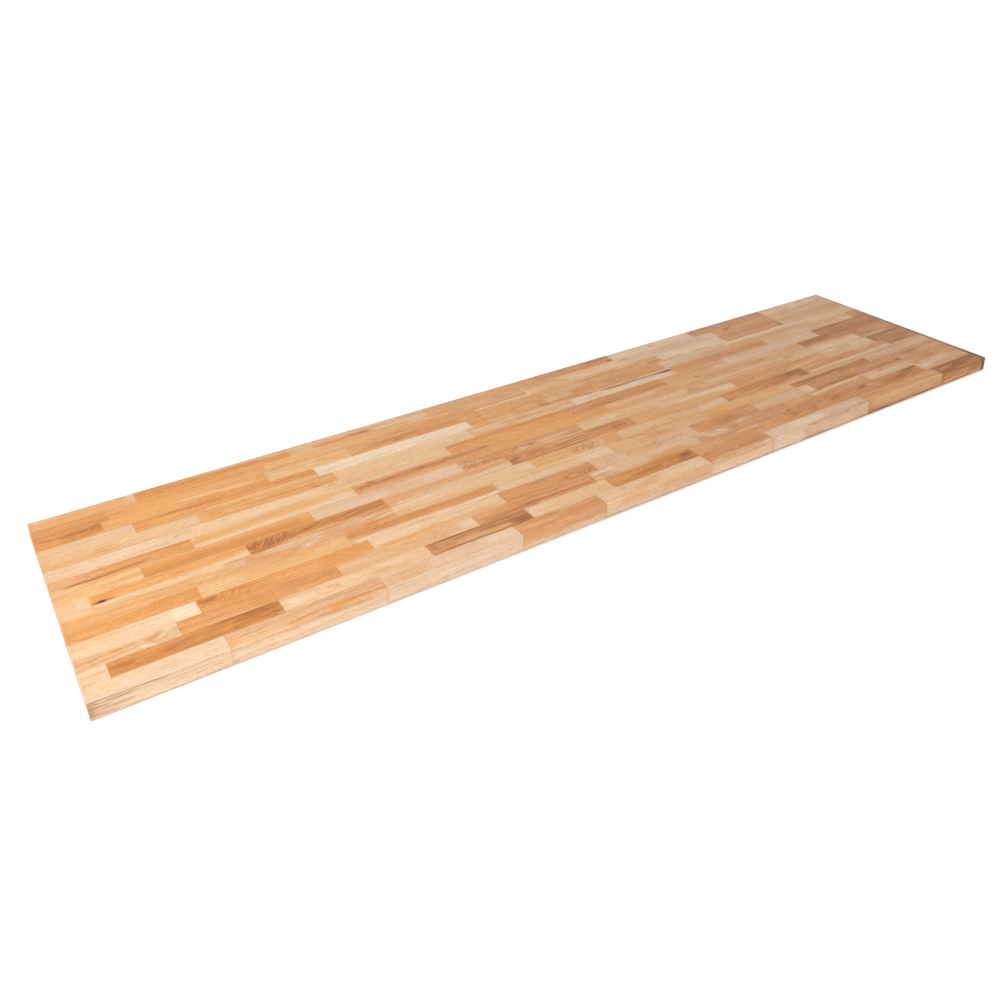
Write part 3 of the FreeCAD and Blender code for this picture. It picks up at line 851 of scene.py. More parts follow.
row14 = {
    "node": "stave_row_14",
    "tones": ["cream", "chestnut", "peach", "taupe", "peach", "chestnut", "copper", "russet",
              "chestnut", "sand"],
    "marks": [
        wash("gold", (1147, 1403), 0.5, 0.6, 0.3),
        wash("tan", (678, 860), 0.5, 0.6, 0.25),
        wash("oat", (0, 48), 0.5, 0.6, 0.3),
        wash("tan", (925, 1147), 0.5, 0.6, 0.2),
        wash("fawn", (2268, 2489), 0.5, 0.8, 0.5),
        streak("tan", (0, 46), (0.42, 0.45), 0.1, 0.8),
        wash("straw", (0, 20), 0.95, 0.12, 0.4),
        wash("amber", (110, 145), (0.25, 0.3), 0.22, 0.3),
        streak("rust", (52, 90), (0.45, 0.5), 0.18, 0.6),
        streak("rust", (140, 196), (0.58, 0.36), 0.13, 0.8),
        streak("umber", (235, 362), (0.08, 0.14), 0.12, 0.7),
        wash("gold", (250, 275), 0.6, 0.2, 0.7),
        oval("umber", (268, 352), (0.22, 1.1), 0.1, 0.5),
        streak("rust", (284, 358), (0.5, 0.45), 0.26, 0.7),
        streak("umber", (306, 350), (0.55, 0.95), 0.06, 0.6),
        streak("tan", (320, 360), (0.62, 0.92), 0.04, 0.5),
        streak("umber", (170, 250), (0.88, 0.8), 0.08, 0.4),
        streak("copper", (362, 396), (0.12, 0.1), 0.07, 0.8),
        wash("ivory", (364, 400), (0.5, 0.55), 0.35, 0.5),
        wash("tan", (590, 640), (0.85, 0.6), 0.25, 0.5),
        wash("cream", (410, 520), (0.5, 0.6), 0.35, 0.5),
        wash("tan", (650, 676), (0.6, 0.5), 0.3, 0.4),
        streak("umber", (680, 925), (0.1, 0.12), 0.09, 0.8),
        streak("rust", (740, 840), (0.34, 0.3), 0.1, 0.5),
        streak("umber", (682, 700), (0.3, 0.5), 0.25, 0.45),
        streak("chestnut", (710, 740), (0.62, 0.58), 0.14, 0.8),
        wash("tan", (740, 892), (0.68, 0.76), 0.15, 0.8),
        streak("umber", (700, 925), (0.9, 0.92), 0.06, 0.6),
        streak("umber", (800, 925), (0.4, 0.5), 0.1, 0.7),
        streak("umber", (872, 926), (0.68, 0.64), 0.32, 0.8),
        streak("bark", (890, 926), (0.85, 0.75), 0.12, 0.5),
        wash("cream", (928, 980), 0.5, 0.4, 0.7),
        streak("straw", (928, 1000), (0.65, 0.6), 0.06, 0.6),
        wash("butter", (1100, 1147), (0.35, 0.6), 0.35, 0.6),
        streak("sand", (1000, 1110), (0.25, 0.22), 0.08, 0.5),
        wash("amber", (1150, 1205), (0.35, 0.3), 0.3, 0.8),
        streak("rust", (1214, 1275), (0.6, 0.45), 0.12, 0.8),
        streak("rust", (1260, 1300), (0.7, 0.5), 0.22, 0.6),
        streak("chestnut", (1180, 1350), (0.92, 0.9), 0.09, 0.5),
        hatch((1285, 1345), 0.5, 0.4, 0.4),
        streak("umber", (1352, 1404), (0.66, 0.3), 0.22, 1.0),
        streak("bark", (1370, 1386), (0.48, 0.42), 0.16, 0.6),
        streak("umber", (1345, 1404), (0.92, 0.88), 0.1, 0.7),
        wash("straw", (1406, 1500), (0.3, 0.35), 0.25, 0.6),
        streak("chestnut", (1500, 1640), (0.6, 0.7), 0.2, 0.4),
        wash("peach", (1560, 1640), (0.12, 0.15), 0.16, 0.5),
        streak("gold", (1640, 1725), (0.35, 0.45), 0.22, 0.8),
        streak("umber", (1745, 1772), (0.55, 0.38), 0.16, 0.7),
        streak("gold", (1735, 1800), (0.85, 0.8), 0.16, 0.6),
        streak("umber", (1805, 1840), (0.55, 0.45), 0.09, 0.6),
        streak("umber", (1810, 1835), (0.8, 0.65), 0.08, 0.6),
        wash("copper", (1835, 1890), (0.6, 0.5), 0.3, 0.8),
        streak("rust", (1898, 1945), (0.44, 0.34), 0.12, 0.9),
        streak("rust", (1890, 1940), (0.12, 0.2), 0.07, 0.6),
        wash("fawn", (1940, 1985), (0.7, 0.6), 0.25, 0.9),
        streak("umber", (2022, 2050), (0.1, 0.26), 0.1, 0.9),
        streak("umber", (2010, 2048), (0.48, 0.18), 0.14, 0.8),
        wash("fawn", (2052, 2100), (0.5, 0.6), 0.3, 0.9),
        wash("sand", (2048, 2075), (0.3, 0.35), 0.16, 0.5),
        streak("rust", (2140, 2190), (0.75, 0.6), 0.16, 0.7),
        streak("umber", (2185, 2240), (0.76, 0.4), 0.06, 0.7),
        streak("umber", (2170, 2235), (0.56, 0.24), 0.06, 0.7),
        streak("umber", (2200, 2268), (0.12, 0.14), 0.12, 0.9),
        wash("amber", (2196, 2262), (0.86, 0.8), 0.16, 0.4),
        wash("cream", (2272, 2330), (0.4, 0.45), 0.35, 0.9),
        wash("butter", (2430, 2478), (0.3, 0.7), 0.3, 0.7),
        wash("cream", (2330, 2420), (0.2, 0.25), 0.25, 0.6),
        wash("sand", (1595, 1705), 0.86, 0.2, 0.5),
    ],
}

# On this front row, the pale washes below the front edge (across above 1) make the front face paler
# than the top: partly the wood's own tones, and partly painted light standing in for a brighter light
# on the front face.
row15 = {
    "node": "stave_row_15",
    "tones": ["cream", "tan", "blush", "copper", "peach", "copper", "blush", "copper", "rust"],
    "marks": [
        wash("umber", (-6, 16), 1.45, 0.5, 0.3),
        wash("tan", (0, 180), 1.1, 0.14, 0.3),
        wash("umber", (2330, 2489), 1.0, 0.2, 0.7),
        wash("umber", (2340, 2489), 0.5, 0.6, 0.5),
        wash("oat", (0, 243), 0.45, 0.6, 0.5),
        wash("tan", (95, 165), 0.5, 0.22, 0.35),
        wash("oat", (243, 553), 0.35, 0.55, 0.3),
        wash("cream", (985, 1085), 0.12, 0.2, 0.6),
        wash("butter", (0, 60), (0.3, 0.4), 0.4, 0.3),
        streak("umber", (-20, 125), (1.03, 1.05), 0.045, 0.65),
        streak("umber", (-30, 80), 1.2, 0.045, 0.6),
        streak("umber", (-30, 40), 1.36, 0.05, 0.6),
        streak("umber", (-30, 75), (1.52, 1.5), 0.045, 0.6),
        streak("umber", (-30, 45), 1.7, 0.06, 0.6),
        wash("oat", (0, 243), 1.48, 0.5, 0.4),
        wash("ivory", (60, 243), 1.6, 0.4, 0.45),
        streak("umber", (110, 225), (1.07, 1.09), 0.035, 0.4),
        streak("umber", (100, 216), (1.3, 1.32), 0.035, 0.34),
        streak("umber", (140, 235), (1.5, 1.52), 0.035, 0.3),
        wash("peach", (60, 120), 0.2, 0.2, 0.5),
        streak("straw", (232, 262), (0.55, 0.6), 0.12, 0.8),
        streak("copper", (250, 430), (0.55, 0.16), 0.06, 0.7),
        wash("peach", (260, 360), 0.75, 0.25, 0.5),
        streak("copper", (355, 556), (0.84, 0.42), 0.09, 0.9),
        streak("fawn", (430, 555), (0.14, 0.1), 0.1, 0.5),
        wash("gold", (440, 490), (0.82, 0.84), 0.16, 0.9),
        streak("russet", (455, 553), (0.72, 0.78), 0.08, 0.7),
        streak("russet", (540, 553), 0.85, 0.1, 0.6),
        wash("tan", (556, 660), (0.6, 0.4), 0.35, 0.6),
        wash("sand", (680, 780), (0.25, 0.2), 0.2, 0.5),
        wash("ivory", (790, 868), (0.4, 0.55), 0.45, 0.4),
        streak("russet", (872, 1088), (0.2, 0.12), 0.06, 0.9),
        wash("straw", (880, 960), 0.5, 0.18, 0.6),
        streak("chestnut", (900, 960), (0.85, 0.8), 0.05, 0.6),
        streak("walnut", (1005, 1026), (0.92, 0.9), 0.06, 0.6),
        streak("chestnut", (1000, 1090), (0.4, 0.38), 0.2, 0.3),
        streak("russet", (870, 1060), (0.66, 0.62), 0.06, 0.6),
        wash("cream", (1092, 1150), (0.45, 0.5), 0.4, 0.5),
        wash("tan", (1190, 1260), (0.7, 0.45), 0.26, 0.8),
        wash("cream", (1270, 1400), (0.4, 0.5), 0.4, 0.7),
        streak("chestnut", (1405, 1614), 0.14, 0.07, 0.8),
        streak("chestnut", (1405, 1614), (0.52, 0.46), 0.09, 0.8),
        wash("peach", (1420, 1614), (0.92, 0.88), 0.2, 1.0),
        wash("cream", (1618, 1700), (0.4, 0.5), 0.4, 0.8),
        wash("ivory", (1700, 1820), (0.35, 0.5), 0.35, 0.7),
        streak("tan", (1620, 1640), (0.12, 0.1), 0.1, 0.6),
        streak("fawn", (1838, 1870), (0.6, 0.5), 0.08, 0.6),
        streak("fawn", (1740, 1840), (0.92, 0.9), 0.06, 0.6),
        streak("fawn", (1855, 1875), (0.26, 0.2), 0.06, 0.5),
        streak("copper", (1935, 1968), (0.85, 0.75), 0.07, 0.6),
        streak("russet", (1972, 2040), (0.56, 0.3), 0.1, 0.6),
        wash("straw", (1975, 2060), (0.65, 0.5), 0.16, 0.6),
        streak("chestnut", (2050, 2130), (0.72, 0.66), 0.1, 0.4),
        wash("butter", (2060, 2110), (0.6, 0.7), 0.2, 0.6),
        wash("straw", (2110, 2280), (0.55, 0.5), 0.35, 0.7),
        wash("butter", (2000, 2284), 0.98, 0.14, 0.8),
        streak("umber", (2288, 2362), (0.2, 0.22), 0.12, 0.8),
        streak("umber", (2288, 2350), (0.85, 0.8), 0.16, 0.9),
        wash("russet", (2300, 2350), (0.5, 0.45), 0.18, 0.9),
        streak("umber", (2380, 2470), (0.4, 0.2), 0.2, 0.8),
        wash("taupe", (2420, 2475), (0.65, 0.6), 0.2, 0.7),
        wash("chestnut", (2360, 2489), 0.98, 0.16, 0.9),
        wash("ivory", (244, 553), 1.56, 0.44, 0.75),
        wash("ivory", (244, 553), 1.84, 0.24, 1.0),
        wash("cream", (246, 350), 1.06, 0.12, 0.6),
        wash("cream", (470, 553), 1.06, 0.12, 0.5),
        streak("russet", (385, 520), (1.1, 1.14), 0.04, 0.7),
        streak("fawn", (440, 515), (1.24, 1.26), 0.035, 0.6),
        streak("fawn", (455, 482), (1.4, 1.44), 0.03, 0.6),
        wash("ivory", (554, 868), 1.55, 0.5, 0.6),
        wash("oat", (554, 868), 1.84, 0.2, 0.4),
        wash("tan", (869, 1090), 1.4, 0.35, 0.7),
        wash("sand", (869, 1090), 1.6, 0.25, 0.6),
        wash("cream", (869, 1090), 1.85, 0.3, 0.9),
        streak("walnut", (890, 926), (0.96, 1.0), 0.05, 0.6),
        streak("tan", (890, 962), (1.06, 1.08), 0.04, 0.6),
        wash("cream", (1092, 1132), 1.5, 0.45, 0.7),
        wash("honey", (1134, 1204), (1.15, 1.2), 0.35, 0.5),
        wash("tan", (1250, 1402), 1.3, 0.4, 0.6),
        wash("cream", (1094, 1240), 1.74, 0.3, 0.9),
        wash("oat", (1094, 1200), 1.84, 0.24, 0.8),
        wash("blush", (1160, 1402), 1.62, 0.26, 0.6),
        wash("cream", (1404, 1615), 1.56, 0.5, 1.0),
        wash("ivory", (1404, 1470), 1.75, 0.3, 0.5),
        wash("ivory", (1617, 1724), 1.55, 0.5, 0.7),
        streak("walnut", (1745, 1890), (1.0, 1.02), 0.05, 0.5),
        streak("fawn", (1718, 1748), (1.25, 1.5), 0.2, 0.5),
        wash("sand", (1990, 2284), 1.25, 0.4, 0.6),
        streak("umber", (1972, 2130), (1.7, 1.8), 0.1, 0.5),
        streak("umber", (2120, 2286), (1.8, 1.86), 0.07, 0.6),
        wash("copper", (2288, 2489), 1.5, 0.4, 0.7),
        wash("sand", (2300, 2489), 1.84, 0.24, 0.9),
        streak("amber", (2362, 2420), (1.25, 1.4), 0.12, 0.6),
        # Painted shade: a dark line along the bottom round of the front face, darker towards the
        # right end, where the underside's edge is in shadow
        streak("umber", (60, 240), 1.85, 0.05, 0.35),
        streak("umber", (246, 550), 1.86, 0.04, 0.15),
        streak("bark", (1094, 1400), 1.86, 0.04, 0.35),
        streak("bark", (1406, 1612), 1.86, 0.04, 0.55),
        streak("bark", (1620, 1968), 1.86, 0.04, 0.8),
        streak("bark", (1972, 2284), 1.86, 0.05, 1.0),
        streak("bark", (2290, 2489), 1.86, 0.05, 0.9),
        wash("sand", (1920, 1985), 1.78, 0.3, 1.0),
        wash("sand", (1730, 1800), 1.8, 0.2, 0.6),
        wash("taupe", (1800, 1960), 0.86, 0.22, 0.3),
        wash("taupe", (1440, 1580), 0.95, 0.24, 0.35),
        wash("oat", (0, 170), 0.88, 0.24, 0.45),
        wash("russet", (2340, 2475), 1.12, 0.14, 0.7),
        streak("umber", (2340, 2489), 1.07, 0.09, 0.9),
        wash("bark", (-8, 9), 1.3, 0.12, 0.3),
        wash("bark", (-8, 9), 1.62, 0.14, 0.28),
        wash("umber", (-8, 15), (1.06, 1.1), 0.1, 0.35),
        wash("umber", (2405, 2462), 1.38, 0.36, 0.35),
    ],
}

# The stave tones and broad washes deepen towards the slab's right end: partly the wood's own tones,
# and partly painted shade standing in for the light falling off along the slab.
rows = [row01, row02, row03, row04, row05, row06, row07, row08, row09, row10, row11, row12, row13,
        row14, row15]


def smoothStep(value):
    value = np.clip(value, 0, 1)
    return value * value * (3 - 2 * value)


def staveEnds(rowName):
    # Where each stave of a row begins and ends along X, in metres. At a joint, two end faces of
    # the row's CAD node lie one glue line apart, which nothing else inside the slab's ends does.
    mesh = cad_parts[rowName].data
    places = np.empty(len(mesh.vertices) * 3, np.float32)
    mesh.vertices.foreach_get("co", places)
    along = np.unique(np.round(places.reshape(-1, 3)[:, 0].astype(float), 6))
    low, high = along[0], along[-1]
    clear = 2 * layUp["edgeRound"] * mm
    inside = along[(along > low + clear) & (along < high - clear)]
    joint = np.nonzero(np.diff(inside) < 1.5 * layUp["glueLine"] * mm)[0]
    starts = np.concatenate([[low], inside[joint + 1]])
    ends = np.concatenate([inside[joint], [high]])
    return list(zip(starts, ends))


def endSteps(radius, steps):
    # Distances in from an end, and the radius left there, for a quarter round: with the angle
    # going from 0 to 90 degrees, the distance is r - r cos and the radius left is r sin. The
    # radius stops short of nothing, so that the cap's corners stay apart.
    angle = np.linspace(0, math.pi / 2, steps + 1)
    return radius * (1 - np.cos(angle)), radius * np.maximum(np.sin(angle), layUp["capShare"])


def staveStations(start, end, startRound, endRound):
    # Places along a stave with, at each, how far the end's rounding has drawn its faces in. One
    # more section stands where the glue's darkening stops.
    near, nearLeft = endSteps(startRound, layUp["roundSteps"])
    far, farLeft = endSteps(endRound, layUp["roundSteps"])
    stain = layUp["glueStain"] * mm
    first, last = start + startRound + stain, end - endRound - stain
    count = max(int((last - first) / (layUp["stationStep"] * mm)), 3)
    middle = np.linspace(first, last, count + 1)
    x = np.concatenate([start + near, middle, end - far[::-1]])
    drawn = np.concatenate([startRound - nearLeft, 0 * middle, endRound - farLeft[::-1]])
    return x, np.maximum(drawn, 0)


def profileWalk(outer):
    # Once round a stave's section, facing +X, anticlockwise from the front bottom corner. Each
    # point has its share of the way across (0 front, 1 back) and up (0 under, 1 top), and the way
    # that the corner's round pushes it out. The top and underside have a column where the glue's
    # darkening stops.
    walk = []
    stain = layUp["stainShare"]
    frontColumns = layUp["frontColumns" if outer["front"] else "sideColumns"]
    sides = (
        ((0, 0), (1, 0), (0, -1), layUp["underColumns"], stain),
        ((1, 0), (1, 1), (1, 0), layUp["sideColumns"], 0),
        ((1, 1), (0, 1), (0, 1), layUp["topColumns"], stain),
        ((0, 1), (0, 0), (-1, 0), frontColumns, 0),
    )
    for (u0, v0), (u1, v1), (oy, oz), columns, edge in sides:
        share = np.linspace(edge, 1 - edge, columns + 1)
        if edge:
            share = np.concatenate([[0], share, [1]])
        turn = np.linspace(0, math.pi / 2, layUp["roundSteps"] + 1)[1:-1]
        straight = np.stack([u0 + (u1 - u0) * share, v0 + (v1 - v0) * share,
                             0 * share + oy, 0 * share + oz], 1)
        corner = np.stack([0 * turn + u1, 0 * turn + v1,
                           oy * np.cos(turn) - oz * np.sin(turn),
                           oz * np.cos(turn) + oy * np.sin(turn)], 1)
        walk += [straight, corner]
    return np.concatenate(walk)


def staveSurface(start, end, front, back, outer):
    # A stave: the section above carried along X. Its corner rounds are the slab's own where the
    # side is an outer one, and a bare break at a glue line. At each end the faces draw in by the
    # end's rounding. outer says which of the left, right, front and back are the slab's outside.
    slabRound = layUp["edgeRound"] * mm
    bare = layUp["staveArris"] * mm
    x, drawn = staveStations(start, end, slabRound if outer["left"] else bare,
                             slabRound if outer["right"] else bare)
    x, drawn = x[:, None], drawn[:, None]
    u, v, oy, oz = profileWalk(outer).T[:, None, :]
    frontRound = np.maximum(slabRound - drawn, bare) if outer["front"] else bare + 0 * drawn
    backRound = np.maximum(slabRound - drawn, bare) if outer["back"] else bare + 0 * drawn
    glueDraw = np.minimum(drawn, bare)
    frontCore = front + (drawn if outer["front"] else glueDraw) + frontRound
    backCore = back - (drawn if outer["back"] else glueDraw) - backRound
    radius = frontRound + (backRound - frontRound) * u
    y = frontCore + (backCore - frontCore) * u + oy * radius
    z = drawn + radius + (slabTop - 2 * drawn - 2 * radius) * v + oz * radius
    return np.stack([x + 0 * y, y, z + 0 * y], -1)


def gridFaces(stations, around, first):
    # Quads between neighbouring sections, wound to face outwards, and one many-sided cap each end
    i = np.arange(stations - 1)[:, None] * around
    j = np.arange(around)[None, :]
    k = (j + 1) % around
    quads = np.stack([i + j, i + k, i + around + k, i + around + j], -1).reshape(-1, 4) + first
    nearCap = np.arange(around)[::-1] + first
    farCap = np.arange(around) + first + (stations - 1) * around
    return quads, nearCap, farCap


def smoothFaces(stations, outer):
    # True for the quads of the rounds, which shade smoothly. The flat faces stay flat.
    walk = profileWalk(outer)
    ahead = np.roll(walk, -1, 0)
    turning = np.any(np.abs(walk[:, 2:] - ahead[:, 2:]) > 1e-6, 1)
    smooth = np.tile(turning, (stations - 1, 1))
    smooth[: layUp["roundSteps"]] = True
    smooth[-layUp["roundSteps"]:] = True
    return smooth.ravel()


# How marks lie on a stave, and the ranges that each stave's own grain is drawn from. A sway is a
# share of the row's width, and the millimetres along in which its wave turns by one radian.
drawing = {
    "fadeShare": 0.4,                  # a mark's fade at its ends, as a share of its length
    "longestFade": 30,                 # millimetres
    "slowSway": (0.020, 31),
    "quickSway": (0.012, 11),
    "phase": (0, 6.28),
    "lean": (-0.3, 0.3),               # shift across the row from the top to the underside
    "pithAway": (0.035, 0.110),        # metres from the stave's middle to the tree's pith
    "leanAcross": (-0.02, 0.02),       # metres that the pith moves for each metre along
    "leanUp": (-0.05, 0.05),
    "grainSeed": (0, 50),
    "ringThickness": (0.0035, 0.0080),
}


def markShare(mark, along, across):
    # How strongly a mark shows, from 0 to 1. A streak falls off from its middle line as a bell, a
    # wash and a hatch keep flat and then fall, and all three fade at their ends. An oval is a bell
    # round the ring where the ellipse's radius is 1.
    (start, end), (near, far) = mark["along"], mark["across"]
    if mark["kind"] == "oval":
        radius = np.hypot((2 * along - start - end) / (end - start),
                          (2 * across - near - far) / (far - near))
        return np.exp(-((radius - 1) / mark["breadth"]) ** 2)
    middle = near + (far - near) * np.clip((along - start) / (end - start), 0, 1)
    off = (across - middle) / mark["breadth"]
    fade = min(drawing["fadeShare"] * (end - start), drawing["longestFade"])
    faded = smoothStep((along - start) / fade + 0.5) * smoothStep((end - along) / fade + 0.5)
    return faded * np.exp(-off ** (2 if mark["kind"] == "streak" else 4))


def paintStave(row, tone, start, end, surface, outer, dice):
    # The colours of one stave at its vertices: its own tone with the washes blended in, the tone
    # of the streaks over it, and the shares of streaks and of hatching. A mark goes down through
    # the wood with a lean, so that the underside is no copy of the top. On the front row the lean
    # is a full turn over the edge, which lays the front face out below the top.
    low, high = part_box(row["node"])
    along = (surface[..., 0] - slabLeft) / mm
    depth = (slabTop - surface[..., 2]) / slabTop
    across = (high.y - surface[..., 1]) / (high.y - low.y)
    phase, lean = dice.uniform(*drawing["phase"]), dice.uniform(*drawing["lean"])
    if outer["front"]:
        lean = slabTop / (high.y - low.y)
    (slow, slowTurn), (quick, quickTurn) = drawing["slowSway"], drawing["quickSway"]
    sway = slow * np.sin(along / slowTurn + phase) + quick * np.sin(along / quickTurn + 2 * phase)
    across = across + sway + lean * depth
    base = np.ones(along.shape + (3,)) * toneOf(tone)
    tiny = 1e-4                        # lets a place with no streak keep the stave's own tone
    over, weight = tiny * base, np.full(along.shape, tiny)
    streaks, figure = np.zeros(along.shape), np.zeros(along.shape)
    for mark in row["marks"]:
        if mark["kind"] == "knot" or not start < sum(mark["along"]) / 2 < end:
            continue
        share = mark["strength"] * markShare(mark, along, across)
        if mark["kind"] == "wash":
            base = base + (toneOf(mark["tone"]) - base) * share[..., None]
        elif mark["kind"] == "hatch":
            figure = np.maximum(figure, share)
        else:
            over = over + toneOf(mark["tone"]) * share[..., None]
            weight = weight + share
            streaks = 1 - (1 - streaks) * (1 - share)
    return base, over / weight[..., None], streaks, figure


def glueShare(stations, outer):
    # 1 where a vertex lies on an edge at a glue line, and 0 elsewhere
    walk = profileWalk(outer)
    touching = (walk[:, 0] == 0) & (not outer["front"]) | (walk[:, 0] == 1) & (not outer["back"])
    glue = np.tile(touching.astype(float), (stations, 1))
    steps = layUp["roundSteps"] + 1
    if not outer["left"]:
        glue[:steps] = 1
    if not outer["right"]:
        glue[-steps:] = 1
    return glue


def grainOf(row, start, end, dice):
    # How one stave was sawn: where the tree's pith runs beside it, how the pith leans away from
    # the stave's own direction, and how thick the growth rings are. All in metres.
    low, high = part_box(row["node"])
    away, angle = dice.uniform(*drawing["pithAway"]), dice.uniform(0, 2 * math.pi)
    leanY, leanZ = dice.uniform(*drawing["leanAcross"]), dice.uniform(*drawing["leanUp"])
    middle = (start + end) / 2 * mm + slabLeft
    pithY = (low.y + high.y) / 2 + away * math.cos(angle) - leanY * middle
    pithZ = slabTop / 2 + away * math.sin(angle) - leanZ * middle
    seed, thickness = dice.uniform(*drawing["grainSeed"]), dice.uniform(*drawing["ringThickness"])
    return (seed, pithY, pithZ), (leanY, leanZ, thickness)


def knotOf(row, start, end):
    # The middle of the stave's knot, and its half length, half width and darkness. A stave with
    # no knot has one far away.
    low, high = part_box(row["node"])
    for mark in row["marks"]:
        (near, far), (back, front) = mark["along"], mark["across"]
        if mark["kind"] == "knot" and start < (near + far) / 2 < end:
            width = high.y - low.y
            place = (slabLeft + (near + far) / 2 * mm, high.y - (back + front) / 2 * width, slabTop)
            return place, ((far - near) / 2 * mm, (front - back) / 2 * width, mark["strength"])
    return (100.0, 0.0, 0.0), (0.01, 0.01, 0.0)


def writeAttribute(mesh, name, values):
    # Three values at each vertex. A tone is a colour, and gets its alpha of 1.
    kind, field = ("FLOAT_COLOR", "color") if name.endswith("Tone") else ("FLOAT_VECTOR", "vector")
    if field == "color":
        values = np.hstack([values, np.ones((len(values), 1))])
    made = mesh.attributes.new(name, kind, "POINT")
    made.data.foreach_set(field, np.ascontiguousarray(values, np.float32).ravel())


def makeRow(row, materials):
    # The staves of one row as one mesh, in the place of the row's CAD node
    name = row["node"]
    low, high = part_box(name)
    ends = staveEnds(name)
    parts, faces, smooth, kinds, first = {}, [], [], [], 0
    for index, ((start, end), tone) in enumerate(zip(ends, row["tones"])):
        outer = {
            "left": index == 0,
            "right": index == len(ends) - 1,
            "front": abs(low.y - cadBox[0].y) < mm,
            "back": abs(high.y - cadBox[1].y) < mm,
        }
        surface = staveSurface(start, end, low.y, high.y, outer)
        stations, around = surface.shape[:2]
        count = stations * around
        quads, nearCap, farCap = gridFaces(stations, around, first)
        faces += quads.tolist() + [nearCap.tolist(), farCap.tolist()]
        smooth += smoothFaces(stations, outer).tolist() + [False, False]
        kinds += [list(woods).index(kindOf[tone])] * (len(quads) + 2)
        first += count

        dice = np.random.default_rng(int(name[-2:]) * 100 + index)
        startMm, endMm = (start - slabLeft) / mm, (end - slabLeft) / mm
        base, over, streaks, figure = paintStave(row, tone, startMm, endMm, surface, outer, dice)
        masks = np.stack([streaks, figure, glueShare(stations, outer)], -1)
        pith, run = grainOf(row, startMm, endMm, dice)
        knotPlace, knotReach = knotOf(row, startMm, endMm)
        whole = np.ones((count, 1))
        values = {"points": surface, "staveTone": base, "streakTone": over, "paintMasks": masks,
                  "pithPlace": whole * pith, "grainRun": whole * run,
                  "knotPlace": whole * knotPlace, "knotReach": whole * knotReach}
        for key, value in values.items():
            parts.setdefault(key, []).append(value.reshape(-1, 3))
    parts = {key: np.concatenate(values) for key, values in parts.items()}

    mesh = bpy.data.meshes.new(name + "_staves")
    mesh.from_pydata(parts.pop("points").tolist(), [], faces)
    for material in materials:
        mesh.materials.append(material)
    mesh.polygons.foreach_set("material_index", kinds)
    mesh.polygons.foreach_set("use_smooth", smooth)
    for key, values in parts.items():
        writeAttribute(mesh, key, values)
    mesh.update()
    piece = bpy.data.objects.new(name + "_staves", mesh)
    bpy.context.scene.collection.objects.link(piece)
    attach(piece, "root")
    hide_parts(name)
    return piece


def put(tree, kind, feeds=None, **settings):
    # A shader node. feeds gives its inputs: a socket is linked, and a value is set on the input.
    node = tree.nodes.new("ShaderNode" + kind)
    for name, value in settings.items():
        setattr(node, name, value)
    for key, feed in (feeds or {}).items():
        if isinstance(feed, bpy.types.NodeSocket):
            tree.links.new(feed, node.inputs[key])
        else:
            node.inputs[key].default_value = feed
    return node


def maths(tree, operation, first, second=0.0, third=0.0, clamp=False):
    feeds = {0: first, 1: second, 2: third}
    return put(tree, "Math", feeds, operation=operation, use_clamp=clamp).outputs[0]


def vectorMaths(tree, operation, first, second):
    return put(tree, "VectorMath", {0: first, 1: second}, operation=operation).outputs[0]


def mixed(tree, share, under, over, blend="MIX"):
    feeds = {0: share, 6: under, 7: over}
    return put(tree, "Mix", feeds, data_type="RGBA", blend_type=blend).outputs[2]


def eased(tree, value, low, high):
    # Goes smoothly from 0 at low to 1 at high
    feeds = {"Value": value, "From Min": low, "From Max": high}
    return put(tree, "MapRange", feeds, interpolation_type="SMOOTHSTEP").outputs[0]


def noise(tree, place, scale, detail=2.0, roughness=0.5):
    # Noise from about 0 to 1 with a scale of its own along each axis
    stretched = vectorMaths(tree, "MULTIPLY", place, scale)
    feeds = {"Vector": stretched, "Scale": 1.0, "Detail": detail, "Roughness": roughness}
    return put(tree, "TexNoise", feeds).outputs[0]


def split(tree, vector):
    return put(tree, "SeparateXYZ", {0: vector}).outputs


def painted(tree, name):
    return put(tree, "Attribute", attribute_name=name).outputs


def newGroup(name, inputs, outputs):
    # An empty node group with its sockets, given as name and type. Gives back the tree, the
    # sockets that feed it, and the node that takes its results.
    tree = bpy.data.node_groups.new(name, "ShaderNodeTree")
    for direction, sockets in (("INPUT", inputs), ("OUTPUT", outputs)):
        for socket, kind in sockets.items():
            tree.interface.new_socket(socket, in_out=direction, socket_type="NodeSocket" + kind)
    return tree, tree.nodes.new("NodeGroupInput").outputs, tree.nodes.new("NodeGroupOutput")


def finishGroup(tree, outlet, results):
    for socket, feed in results.items():
        tree.links.new(feed, outlet.inputs[socket])
    return tree


def useGroup(tree, group, feeds):
    return put(tree, "Group", feeds, node_tree=group).outputs


# A scale is how often noise changes in a metre along X, Y and Z, and edges are the two values
# between which a mask goes from 0 to 1. Lengths in metres.
ringPattern = {
    "wanderScale": (2.5, 22, 22),
    "wander": 0.009,                   # how far a ring strays from its circle
    "fineScale": (14, 160, 160),
    "fine": 0.0007,
    "darkening": (0.40, 0.92),         # shares of a ring's thickness
    "ending": (1.0, 0.95),
    "yearStep": 37.0,                  # sets the years of one stave apart from another's
    "weakest": 0.3,                    # darkness of the weakest year beside the strongest
}


